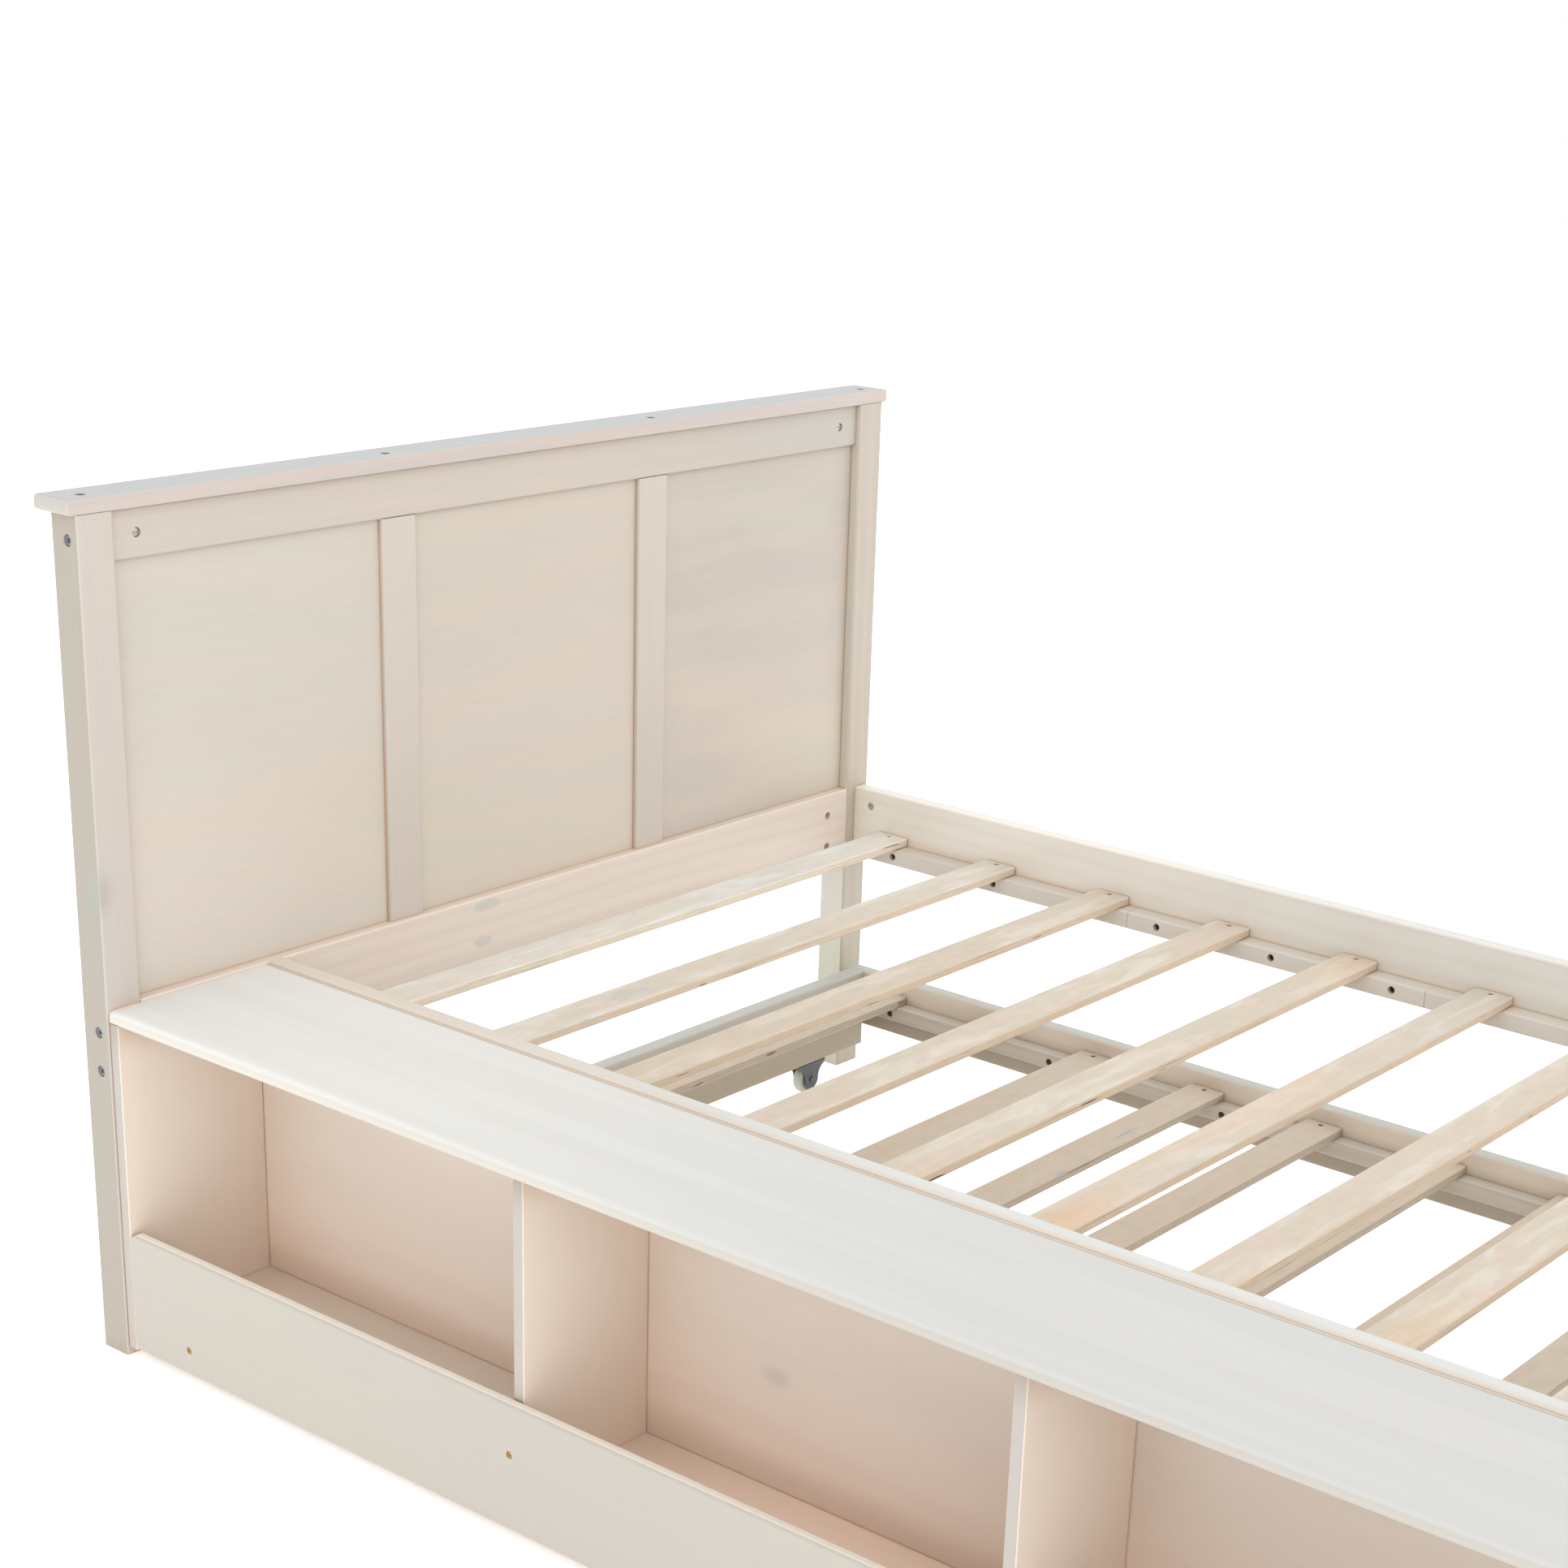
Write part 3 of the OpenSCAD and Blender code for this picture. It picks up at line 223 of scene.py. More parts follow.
# Patches: centre and half sizes in metres, strength, colour and softness of the border, which is
# ragged and runs from the outer to the inner share of the half sizes. The wash lies thick in the
# grey ones.
SPOT_RAGGED = 0.6
SPOT_OUTER = 1.35
SPOT_INNER = 0.95
THICK = (0.48, 0.50, 0.49)
BLUE = (0.36, 0.42, 0.52)
POST_SPOTS = [((-0.632, 0.9634, 0.523), (0.02, 0.017, 0.030), 0.8, (0.345, 0.350, 0.312), 0.4)]
RAIL_SPOTS = [((-0.0855, 0.9535, 0.389), (0.026, 0.03, 0.008), 0.65, THICK, 0.0),
              ((-0.0928, 0.9535, 0.345), (0.018, 0.03, 0.008), 0.65, THICK, 0.0)]
ORANGE = (0.63, 0.43, 0.26)
SLAT_SPOTS = [((-0.111, 0.705, 0.346), (0.035, 0.015, 0.02), 0.6, (0.46, 0.44, 0.39), 0.0),
              ((-0.300, 0.158, 0.346), (0.070, 0.018, 0.02), 0.2, ORANGE, 0.6),
              ((-0.300, -0.012, 0.346), (0.110, 0.022, 0.02), 0.85, ORANGE, 0.6),
              ((0.544, 0.165, 0.346), (0.050, 0.018, 0.02), 0.45, ORANGE, 0.6),
              ((-0.310, -0.215, 0.346), (0.080, 0.015, 0.02), 0.5, ORANGE, 0.6),
              ((-0.300, -0.375, 0.346), (0.100, 0.022, 0.02), 0.5, ORANGE, 0.6)]
BACK_SPOTS = [((-0.442, 0.198, 0.1675), (0.02, 0.018, 0.010), 0.3, (0.42, 0.39, 0.35), 0.4)]
TRUNDLE_SPOTS = [((0.391, 0.3446, 0.132), (0.030, 0.003, 0.02), 0.7, BLUE, 0.0),
                 ((0.231, 0.332, 0.132), (0.012, 0.004, 0.02), 0.6, BLUE, 0.0)]
# Back edge of the bookcase's top, and the half width of a strip's blurred border, in metres
TOP_BACK = -0.415
STRIP_BLUR = 0.0003

# Painted shade, darker and warmer near other boards where shade falls: reach in metres, strength and the
# colour that multiplies the tone
SEAM_SHADE = ((0.0030, 0.45, (0.72, 0.50, 0.34)), (0.022, 0.8, (0.98, 0.86, 0.74)))
BAY_SHADE = ((0.0030, 0.35, (0.55, 0.38, 0.27)), (0.14, 0.8, (1.0, 0.94, 0.88)))
UNDER_SHADE = ((0.003, 0.25, (0.65, 0.52, 0.40)), (0.06, 0.6, (0.90, 0.84, 0.76)))
LEG_SHADE = ((0.004, 0.6, (0.60, 0.45, 0.33)), (0.05, 0.6, (0.90, 0.84, 0.76)))
# Slow changes of tone, several of them painted light and shade: axis, start and end in metres, and the
# share of the tone at the end
# Painted light: the bookcase's top gets lighter towards the headboard, where the headboard shades it
TOP_LIGHT_DRIFT = ((1, -0.20, 0.80, (1.25, 1.25, 1.24)),)
# Painted light: the panels get lighter towards the bottom, where shade falls above the slats
PANEL_LIGHT_DRIFT = ((2, 0.80, 0.42, (1.11, 1.10, 1.10)),)
# Back panel: darker towards the foot; painted light lifting the shade low in the bays; a painted shadow of
# the front board just above the shelf; painted shade under the bookcase's top
BACK_LIGHT_AND_SHADE = ((1, 0.75, -0.60, (0.82, 0.81, 0.80)), (2, 0.24, 0.10, (1.24, 1.22, 1.23)),
              (2, 0.095, 0.055, (0.86, 0.82, 0.80)), (2, 0.345, 0.385, (0.92, 0.89, 0.87)))
# Painted shade: the uprights get darker at the top, under the bookcase's top
BOARD_SHADE_DRIFT = ((2, 0.335, 0.385, (0.84, 0.79, 0.75)),)
SHELF_DRIFT = ((1, 0.50, 0.10, (1.35, 1.25, 1.20)),)
# Painted light: the slats get lighter and cooler towards the headboard, where its shade falls
SLAT_LIGHT_DRIFT = ((1, 0.55, 0.90, (1.20, 1.32, 1.46)),)
# Painted light and shade on the far posts: lighter below their middle, then darker near the floor, where
# the trundle shades them
LEG_LIGHT_AND_SHADE = ((2, 0.45, 0.30, (1.07, 1.09, 1.09)), (2, 0.26, 0.12, (0.88, 0.90, 0.84)))
# Painted shade: the trundle's end rails get darker below the slats
END_SHADE_DRIFT = ((2, 0.125, 0.115, (0.78, 0.70, 0.60)),)
RAIL_DRIFT = ((1, 0.75, 0.10, (0.93, 0.95, 0.97)),)
FAR_DRIFT = ((1, 0.75, 0.10, (0.87, 0.88, 0.90)),)
CROSS_DRIFT = ((0, 0.00, 0.55, (0.91, 0.94, 0.96)),)
# Painted shade: the trundle's side rails get darker below the slats and ledgers
TRUNDLE_SHADE_DRIFT = ((2, 0.118, 0.112, (0.58, 0.56, 0.52)),)
# White outer part of the near rail's top, which fades out from the bookcase's middle to the headboard
RAIL_WHITE = -0.4085
RAIL_FADE = (0.75, 0.20)
# How much darker than the wash or the compartments' colour these boards are
NEAR_POST_SHARE = 0.95
CROSS_RAIL_SHARE = 0.93
SHELF_SHARE = 0.85
BACK_SHARE = 0.98

# Starts of the tan line, a painted shadow, and of the creamy strip along the back of the bookcase's top,
# in metres
SHADOW_LINE_START = TOP_BACK - 0.0050
STRIP_START = TOP_BACK - 0.0037


def colour(name, description, value):
    """A colour property in scene-linear red, green and blue."""
    return FloatVectorProperty(name=name, description=description, default=value,
                               size=3, min=0, max=1, subtype="COLOR")


def length(name, description, value):
    """A length property in metres."""
    return FloatProperty(name=name, description=description, default=value, min=0, unit="LENGTH")


def number(name, description, value, least=0.0, most=10.0):
    """A plain number property."""
    return FloatProperty(name=name, description=description, default=value, min=least, max=most)


class BedFinish(bpy.types.PropertyGroup):
    """Colours of the bed's woods, metals and wheels"""
    wash: colour("Wash", "White-washed solid wood", (0.535, 0.490, 0.445))
    # Painted shade: a darker, greyer copy of the wash for the near posts' outer faces
    outer: colour("Outer wash", "Greyer wash of the near posts' outer faces", (0.372, 0.334, 0.280))
    cap: colour("Cap", "Pinkish wash of the headboard's cap", (0.500, 0.450, 0.425))
    # Painted shade: a darker, cooler copy of the cap's wash on its top face
    cap_top_shade: colour("Cap's top", "Cool wash on top of the headboard's cap", (0.405, 0.410, 0.410))
    # Painted light: the lower rail is lighter than the wash, lifting the shade behind the slats
    lower_rail_lit: colour("Lower rail", "Pale wash of the headboard's lower rail", (0.690, 0.615, 0.545))
    near_rail: colour("Near rail", "Warm wash of the side rail along the bookcase", (0.655, 0.590, 0.515))
    rail_white: colour("Rail's white", "Whiter outer part of the near rail's top", (0.600, 0.605, 0.575))
    # Painted shade: a darker, greener copy of the cap's wash on its end face
    cap_end_shade: colour("Cap's end", "Greenish wash on the cap's end", (0.440, 0.440, 0.390))
    # Painted shade: a darker copy of the wash for the far posts and inner legs, which stand in shade
    shaded_leg: colour("Far post", "Duller wash of the far posts and inner legs", (0.450, 0.405, 0.345))
    # Painted light: a lighter copy for their faces to the bookcase
    lit_leg_side: colour("Far post's side", "Pale wash of their faces to the bookcase", (0.600, 0.570, 0.510))
    strip: colour("Back strip", "Creamy strip at the back of the bookcase's top", (0.575, 0.520, 0.440))
    # Painted shadow: a tan line where the creamy strip ends
    strip_shadow_line: colour("Strip line", "Tan line that ends the creamy strip", (0.360, 0.300, 0.235))
    edge_shade: colour("Edge shade", "Grey-brown edges of the trundle's slats", (0.395, 0.330, 0.255))
    khaki: colour("Khaki", "Broad greener patches in the cream wash", (0.500, 0.480, 0.400))
    # Painted light: paler than the wash, lifting the shade on the far rail's inner face
    far_rail_lit: colour("Far rail", "Pale wash of the far side rail", (0.765, 0.730, 0.660))
    top_wash: colour("Top wash", "Wash of the bookcase's top", (0.545, 0.540, 0.520))
    # Painted shade: a darker copy of the top's wash on its front face
    top_nose_shade: colour("Top's nose", "Darker front edge of the bookcase's top", (0.500, 0.470, 0.420))
    panel: colour("Panel", "Washed plywood of the headboard's panels", (0.535, 0.496, 0.443))
    # Painted light: the boards inside the bookcase are lighter than the outside ones, lifting the shade in
    # the bays; their rosy tone is their own
    compartment_lit: colour("Compartment", "Washed boards inside the bookcase", (0.830, 0.730, 0.640))
    # The uprights' front edges keep this darker tone, a shaded copy beside the lit inside faces
    board_edge: colour("Board edge", "Cool wash of the bookcase's board edges", (0.455, 0.415, 0.375))
    front: colour("Front board", "Cream wash of the bookcase's front board", (0.445, 0.418, 0.372))
    # Painted light: a lighter copy of the front board's wash on its top edge, which the bookcase's top
    # shades
    front_top_lit: colour("Front board's top", "Lighter top edge of the front board", (0.780, 0.715, 0.630))
    ledger: colour("Ledger", "Ledgers and cleats", (0.575, 0.540, 0.485))
    slat: colour("Slat", "Bare pale wood of the slats", (0.560, 0.487, 0.385))
    slat_edge: colour("Slat edge", "Tan edges of the slats", (0.560, 0.440, 0.320))
    trundle_slat: colour("Trundle slat", "Duller bare wood of the trundle's slats", (0.605, 0.510, 0.390))
    trundle_side: colour("Trundle side", "Tan wash of the trundle's side rails", (0.660, 0.590, 0.500))
    trundle_end: colour("Trundle end", "Yellow-brown wash of the end rails", (0.510, 0.500, 0.440))
    # Painted light: a paler, cooler copy of the wash on the top faces of the trundle's rails
    trundle_top_lit: colour("Trundle top", "Cool wash on top of the trundle's rails", (0.510, 0.515, 0.470))
    # Painted shade: a darker copy of the ledger wash on the trundle's ledgers, whose top faces keep the
    # ledger wash
    trundle_ledger_shade: colour("Trundle ledger", "Darker wash of the trundle's ledgers", (0.400, 0.365, 0.310))
    silk: colour("Silk", "Pale silky bands in the bare slats", (0.640, 0.585, 0.500))
    crack: colour("Crack", "Dark cracks, voids and pin knots", (0.110, 0.070, 0.045))
    # Painted shade: this dark brown on the plated heads stands for the shade in the screws' deep holes
    screw: colour("Screw", "Dark plated cross head screws", (0.080, 0.052, 0.034))
    # Painted shade: this brown stands for the shade in the slat screws' holes
    slat_screw_hole_shade: colour("Slat screw", "Brown screws of the slats", (0.230, 0.150, 0.090))
    rosy: colour("Rosy figure", "Warm figure that shows through the wash", (0.600, 0.480, 0.400))
    grey_wash: colour("Grey wash", "Cool patches where the wash lies thick", (0.520, 0.530, 0.530))
    heartwood: colour("Heartwood", "Orange streaks in the bare slats", (0.660, 0.460, 0.285))
    zinc: colour("Zinc", "Bright plated nuts and axles", (0.580, 0.570, 0.550))
    bolt: colour("Bolt", "Dark blue-grey bolts", (0.270, 0.300, 0.340))
    brass: colour("Brass", "Yellow screws of the bookcase", (0.560, 0.390, 0.150))
    caster: colour("Caster steel", "Blue-grey forks of the casters", (0.112, 0.118, 0.130))
    wheel: colour("Wheel", "Pale moulded wheels", (0.500, 0.500, 0.455))


class BedHardware(bpy.types.PropertyGroup):
    """Sizes of the turned heads and their recesses"""
    rim: length("Rim", "Rounding along the rim of a head", 0.0008)
    dome: length("Dome", "Rise of a screw head's middle above its rim", 0.0007)
    recess: length("Recess depth", "Depth of the driver's recess", 0.0016)
    cross_arm: number("Cross arm", "Half width of a cross recess over the head's radius", 0.13, 0.05, 0.3)
    cross_reach: number("Cross reach", "Reach of a cross recess over the head's radius", 0.58, 0.3, 0.8)
    hex_share: number("Socket", "Half the socket's width over the head's radius", 0.46, 0.2, 0.7)
    hex_depth: length("Socket depth", "Depth of a bolt's hexagon socket", 0.0030)
    slot_half: length("Half slot", "Half the width of a barrel nut's slot", 0.0009)


class BedStage(bpy.types.PropertyGroup):
    """Camera, lights and floor"""
    camera_place: FloatVectorProperty(name="Camera place", description="Where the camera stands",
                                      default=(-2.331, -1.3545, 1.431), size=3, subtype="TRANSLATION")
    camera_turn: FloatVectorProperty(name="Camera turn", description="XYZ turn of the camera",
                                     default=tuple(math.radians(a) for a in (68.447, -2.114, -51.169)),
                                     size=3, subtype="EULER")
    lens: FloatProperty(name="Lens", description="Focal length in millimetres", default=65.4, min=10)
    shift_x: FloatProperty(name="Shift X", description="Sideways shift of the lens", default=-0.04278)
    shift_y: FloatProperty(name="Shift Y", description="Upward shift of the lens", default=0.19563)
    sky: number("Sky", "Strength of the even white light", 1.0)
    key: number("Key light", "Strength of the soft light from above", 0.52)
    side: number("Side light", "Strength of the cool light on the bookcase's side", 0.53)
    foot: number("Foot light", "Strength of the warm light from the foot", 0.65)
    back: number("Back light", "Strength of the soft light from behind the headboard", 0.3)
    softness: FloatProperty(name="Softness", description="Angle that each soft light fills in the sky",
                            default=math.radians(75), subtype="ANGLE")
    floor: colour("Floor", "Pale floor", (0.985, 0.985, 0.985))
    floor_glow: number("Floor glow", "Light that the pale floor gives off by itself", 0.35)


class Nodes:
    """Short calls that add and link shader nodes in one tree."""

    def __init__(self, tree):
        self.tree = tree

    def add(self, kind, **settings):
        node = self.tree.nodes.new(kind)
        for key, value in settings.items():
            setattr(node, key, value)
        return node

    def put(self, socket, value):
        """Links value to socket where it is a socket, and sets it where it is a number or a colour."""
        if isinstance(value, bpy.types.NodeSocket):
            self.tree.links.new(value, socket)
        elif value is not None:
            socket.default_value = value

    def place(self):
        """Place in the model's frame, in metres."""
        return self.add("ShaderNodeTexCoord").outputs["Object"]

    def normal(self):
        """Direction that the surface faces in the model's frame."""
        return self.add("ShaderNodeTexCoord").outputs["Normal"]

    def split(self, vector):
        """The X, Y and Z of a vector socket."""
        parts = self.add("ShaderNodeSeparateXYZ")
        self.put(parts.inputs[0], vector)
        return parts.outputs

    def math(self, operation, a, b=None, c=None):
        node = self.add("ShaderNodeMath", operation=operation)
        for socket, value in zip(node.inputs, (a, b, c)):
            self.put(socket, value)
        return node.outputs[0]

    def vector(self, operation, a, b):
        node = self.add("ShaderNodeVectorMath", operation=operation)
        self.put(node.inputs[0], a)
        self.put(node.inputs[1], b)
        return node.outputs[0]

    def noise(self, where, scale, detail=2.0, roughness=0.5, distortion=0.0):
        node = self.add("ShaderNodeTexNoise")
        self.put(node.inputs["Vector"], where)
        node.inputs["Scale"].default_value = scale
        node.inputs["Detail"].default_value = detail
        node.inputs["Roughness"].default_value = roughness
        node.inputs["Distortion"].default_value = distortion
        return node.outputs["Fac"]

    def grained(self, where, cells, detail=2.0, roughness=0.5, distortion=0.0):
        """Noise with its own number of cells per metre along and across the grain."""
        along, across = cells
        stretched = self.vector("MULTIPLY", where, (along, across, across))
        return self.noise(stretched, 1.0, detail, roughness, distortion)

    def span(self, value, low, high, out_low=0.0, out_high=1.0):
        """Smoothly maps value from low..high to out_low..out_high."""
        node = self.add("ShaderNodeMapRange", interpolation_type="SMOOTHSTEP")
        for socket, v in zip(node.inputs, (value, low, high, out_low, out_high)):
            self.put(socket, v)
        return node.outputs[0]

    def mix(self, factor, a, b, blend="MIX"):
        node = self.add("ShaderNodeMix", data_type="RGBA", blend_type=blend)
        self.put(node.inputs["Factor"], factor)
        self.put(node.inputs["A"], a)
        self.put(node.inputs["B"], b)
        return node.outputs["Result"]

    def bump(self, height, strength, distance):
        node = self.add("ShaderNodeBump")
        self.put(node.inputs["Height"], height)
        node.inputs["Strength"].default_value = strength
        node.inputs["Distance"].default_value = distance
        return node.outputs["Normal"]


def new_finish(name):
    """New material around a principled shader; returns the material, its nodes and the shader."""
    material = bpy.data.materials.new(name)
    material.use_nodes = True
    tree = material.node_tree
    return material, Nodes(tree), tree.nodes["Principled BSDF"]


def rgba(value):
    """A colour with full opacity, as sockets take it."""
    return (value[0], value[1], value[2], 1.0)


def scaled(value, share):
    """A colour made darker or lighter by a share."""
    return tuple(channel * share for channel in value)


def board_space(nodes, grain, pitch=None):
    """Texture place with the grain along X, shifted from board to board.

    A node with several boards along Y gives their pitch and first board, and each gets its own shift.
    Returns the place and a random number for the board.
    """
    place = nodes.place()
    piece = nodes.add("ShaderNodeObjectInfo").outputs["Random"]
    if pitch:
        board = nodes.math("DIVIDE", nodes.math("SUBTRACT", nodes.split(place)[1], pitch[1]), pitch[0])
        chance = nodes.add("ShaderNodeTexWhiteNoise", noise_dimensions="1D")
        nodes.put(chance.inputs["W"], nodes.math("ROUND", board))
        piece = chance.outputs["Value"]
    turn = nodes.add("ShaderNodeVectorRotate", rotation_type="EULER_XYZ")
    nodes.put(turn.inputs["Vector"], place)
    turn.inputs["Rotation"].default_value = GRAIN_TURN[grain]
    shift = nodes.add("ShaderNodeCombineXYZ")
    for socket, spread in zip(shift.inputs, BOARD_SHIFT):
        nodes.put(socket, nodes.math("MULTIPLY", piece, spread))
    return nodes.vector("ADD", turn.outputs[0], shift.outputs[0]), piece


def growth_figure(nodes, place, spacing, waviness):
    """Bands of growth rings across the grain, 0 between rings and 1 on a ring."""
    wander = nodes.grained(place, RING_WANDER)
    parts = nodes.split(place)
    across = nodes.math("ADD", parts[1], nodes.math("MULTIPLY", parts[2], RING_SLANT))
    phase = nodes.math("MULTIPLY_ADD", wander, waviness, nodes.math("DIVIDE", across, spacing))
    wave = nodes.math("SINE", nodes.math("MULTIPLY", phase, 2 * math.pi))
    return nodes.span(wave, *RING_STEP)


def shaded(nodes, tone, light):
    """A tone made lighter or darker by a factor that varies over the surface."""
    grey = nodes.add("ShaderNodeCombineColor")
    for socket in grey.inputs[:3]:
        nodes.put(socket, light)
    return nodes.mix(1.0, tone, grey.outputs[0], "MULTIPLY")


def spot(nodes, centre, radii, wander, soft):
    """1 inside an oval patch of the model's frame and 0 outside.

    wander makes the border uneven, and soft makes it wider.
    """
    away = nodes.vector("DIVIDE", nodes.vector("SUBTRACT", nodes.place(), centre), radii)
    distance = nodes.add("ShaderNodeVectorMath", operation="LENGTH")
    nodes.put(distance.inputs[0], away)
    ragged = nodes.math("ADD", distance.outputs["Value"], nodes.math("MULTIPLY", wander, SPOT_RAGGED))
    return nodes.span(ragged, SPOT_OUTER + soft, SPOT_INNER - soft)


def spotted(nodes, tone, spots, wander):
    """A tone with patches of other tones on it."""
    for centre, radii, strength, patch_tone, soft in spots:
        patch = nodes.math("MULTIPLY", spot(nodes, centre, radii, wander, soft), strength)
        tone = nodes.mix(patch, tone, rgba(patch_tone))
    return tone


def striped(nodes, tone, strips):
    """A tone with others beyond a line along Y, which may fade out along that line."""
    for start, strip_tone, fade in strips:
        across, along = nodes.split(nodes.place())[:2]
        share = nodes.span(across, start - STRIP_BLUR, start + STRIP_BLUR)
        if fade:
            share = nodes.math("MULTIPLY", share, nodes.span(along, *fade))
        tone = nodes.mix(share, tone, rgba(strip_tone))
    return tone


def painted_face_light(nodes, tone, faces):
    """Painted light and shade: a tone with lit and shaded copies on the faces whose normal points along an
    axis of the model.
    """
    for axis, sign, face_light_tone in faces:
        toward = nodes.math("MULTIPLY", nodes.split(nodes.normal())[axis], sign)
        tone = nodes.mix(nodes.span(toward, *FACE_LIGHT_STEP), tone, rgba(face_light_tone))
    return tone


def drifted(nodes, tone, drifts):
    """A tone that changes slowly along axes of the model."""
    for axis, start, end, share in drifts:
        along = nodes.split(nodes.place())[axis]
        tone = nodes.mix(nodes.span(along, start, end), tone, rgba(share), "MULTIPLY")
    return tone


def painted_corner_shade(nodes, tone, corner_shades):
    """Painted shade: a tone that turns toward others where boards stand closer than a reach, as shade
    falls there.
    """
    for reach, strength, tint in corner_shades:
        near = nodes.add("ShaderNodeAmbientOcclusion", samples=CORNER_SHADE_SAMPLES)
        near.inputs["Distance"].default_value = reach
        share = nodes.span(near.outputs["AO"], *CORNER_SHADE_STEP, strength, 0.0)
        tone = nodes.mix(share, tone, rgba(tint), "MULTIPLY")
    return tone


def washed_wood(name, base, grain, figure=0.22, rosy=0.25, grey=0.25, spacing=0.016, streak=0.02,
                brush=0.0, khaki=0.0, faces=(), corner_shades=SEAM_SHADE, spots=(), drifts=(), strips=()):
    """Solid wood or plywood under a thin white wash, with the grain along one axis.

    figure, rosy, grey and khaki are the shares of the growth rings, warm clouds, thick strokes and
    broad greener patches, spacing is a ring's width, and streak and brush are the changes of light
    along the fibres and the strokes.
    """
    finish = bpy.context.scene.bed_finish
    material, nodes, shader = new_finish(name)
    place, piece = board_space(nodes, grain)
    fibre = nodes.grained(place, WASH_FIBRE, 3.0, 0.62)
    pores = nodes.grained(place, WASH_PORES, 1.0)
    rings = growth_figure(nodes, place, spacing, WASH_WAVINESS)
    cloud = nodes.grained(place, WASH_CLOUD, 3.0, 0.55)
    stroke = nodes.grained(place, WASH_STROKE)
    tone = rgba(base)
    if khaki:
        broad = nodes.grained(place, WASH_BROAD, 3.0, 0.6, 0.5)
        tone = nodes.mix(nodes.span(broad, *BROAD_STEP, 0.0, khaki), tone, rgba(finish.khaki))
    tone = nodes.mix(nodes.span(piece, *BOARD_ROSY), tone, rgba(finish.rosy))
    tone = nodes.mix(nodes.span(cloud, *CLOUD_STEP, 0.0, rosy), tone, rgba(finish.rosy))
    tone = nodes.mix(nodes.math("MULTIPLY", rings, figure), tone, rgba(finish.rosy))
    tone = nodes.mix(nodes.span(stroke, *STROKE_STEP, 0.0, grey), tone, rgba(finish.grey_wash))
    # Painted light and shade on faces turned to an axis, then slow changes of tone, several of them
    # painted light and shade
    tone = drifted(nodes, painted_face_light(nodes, tone, faces), drifts)
    tone = striped(nodes, spotted(nodes, tone, spots, stroke), strips)
    # Painted shade near other boards
    tone = painted_corner_shade(nodes, tone, corner_shades)
    light = nodes.span(fibre, *FIBRE_STEP, 1.0 - streak, 1.0 + STREAK_LIFT * streak)
    if brush:
        light = nodes.math("MULTIPLY", light, nodes.span(stroke, *BRUSH_STEP, 1.0 - brush, 1.0 + brush))
    nodes.put(shader.inputs["Base Color"], shaded(nodes, tone, light))
    nodes.put(shader.inputs["Roughness"], nodes.span(fibre, *WASH_GLOSS))
    height = nodes.math("ADD", nodes.math("MULTIPLY", fibre, FIBRE_HEIGHT),
                        nodes.math("MULTIPLY", pores, 1.0 - FIBRE_HEIGHT))
    nodes.put(shader.inputs["Normal"], nodes.bump(height, *WASH_BUMP))
    return material


def ply_edge(nodes, place, tone, shade):
    """Tan edge of layered wood: thin plies one on another, fine cracks and a few open voids."""
    finish = bpy.context.scene.bed_finish
    dark = rgba(finish.crack)
    wander = nodes.grained(place, PLY_WANDER, 1.0)
    depth = nodes.math("DIVIDE", nodes.split(place)[2], PLY_SHEET)
    layer = nodes.math("MULTIPLY_ADD", wander, PLY_WAVINESS, depth)
    ply = nodes.span(nodes.math("PINGPONG", layer, 1.0), *PLY_STEP)
    edge = nodes.mix(nodes.math("MULTIPLY", ply, PLY_SHARE), rgba(shade), tone)
    edge = nodes.mix(nodes.span(nodes.grained(place, CRACK_CELLS, 1.0), *CRACK_STEP), edge, dark)
    split_run = nodes.span(nodes.grained(place, SPLIT_CELLS, 1.0), *SPLIT_STEP)
    split_line = nodes.span(nodes.math("PINGPONG", layer, 1.0), *SPLIT_WIDTH)
    edge = nodes.mix(nodes.math("MULTIPLY", split_line, split_run), edge, dark)
    return nodes.mix(nodes.span(nodes.grained(place, VOID_CELLS, 0.0), *VOID_STEP), edge, dark)


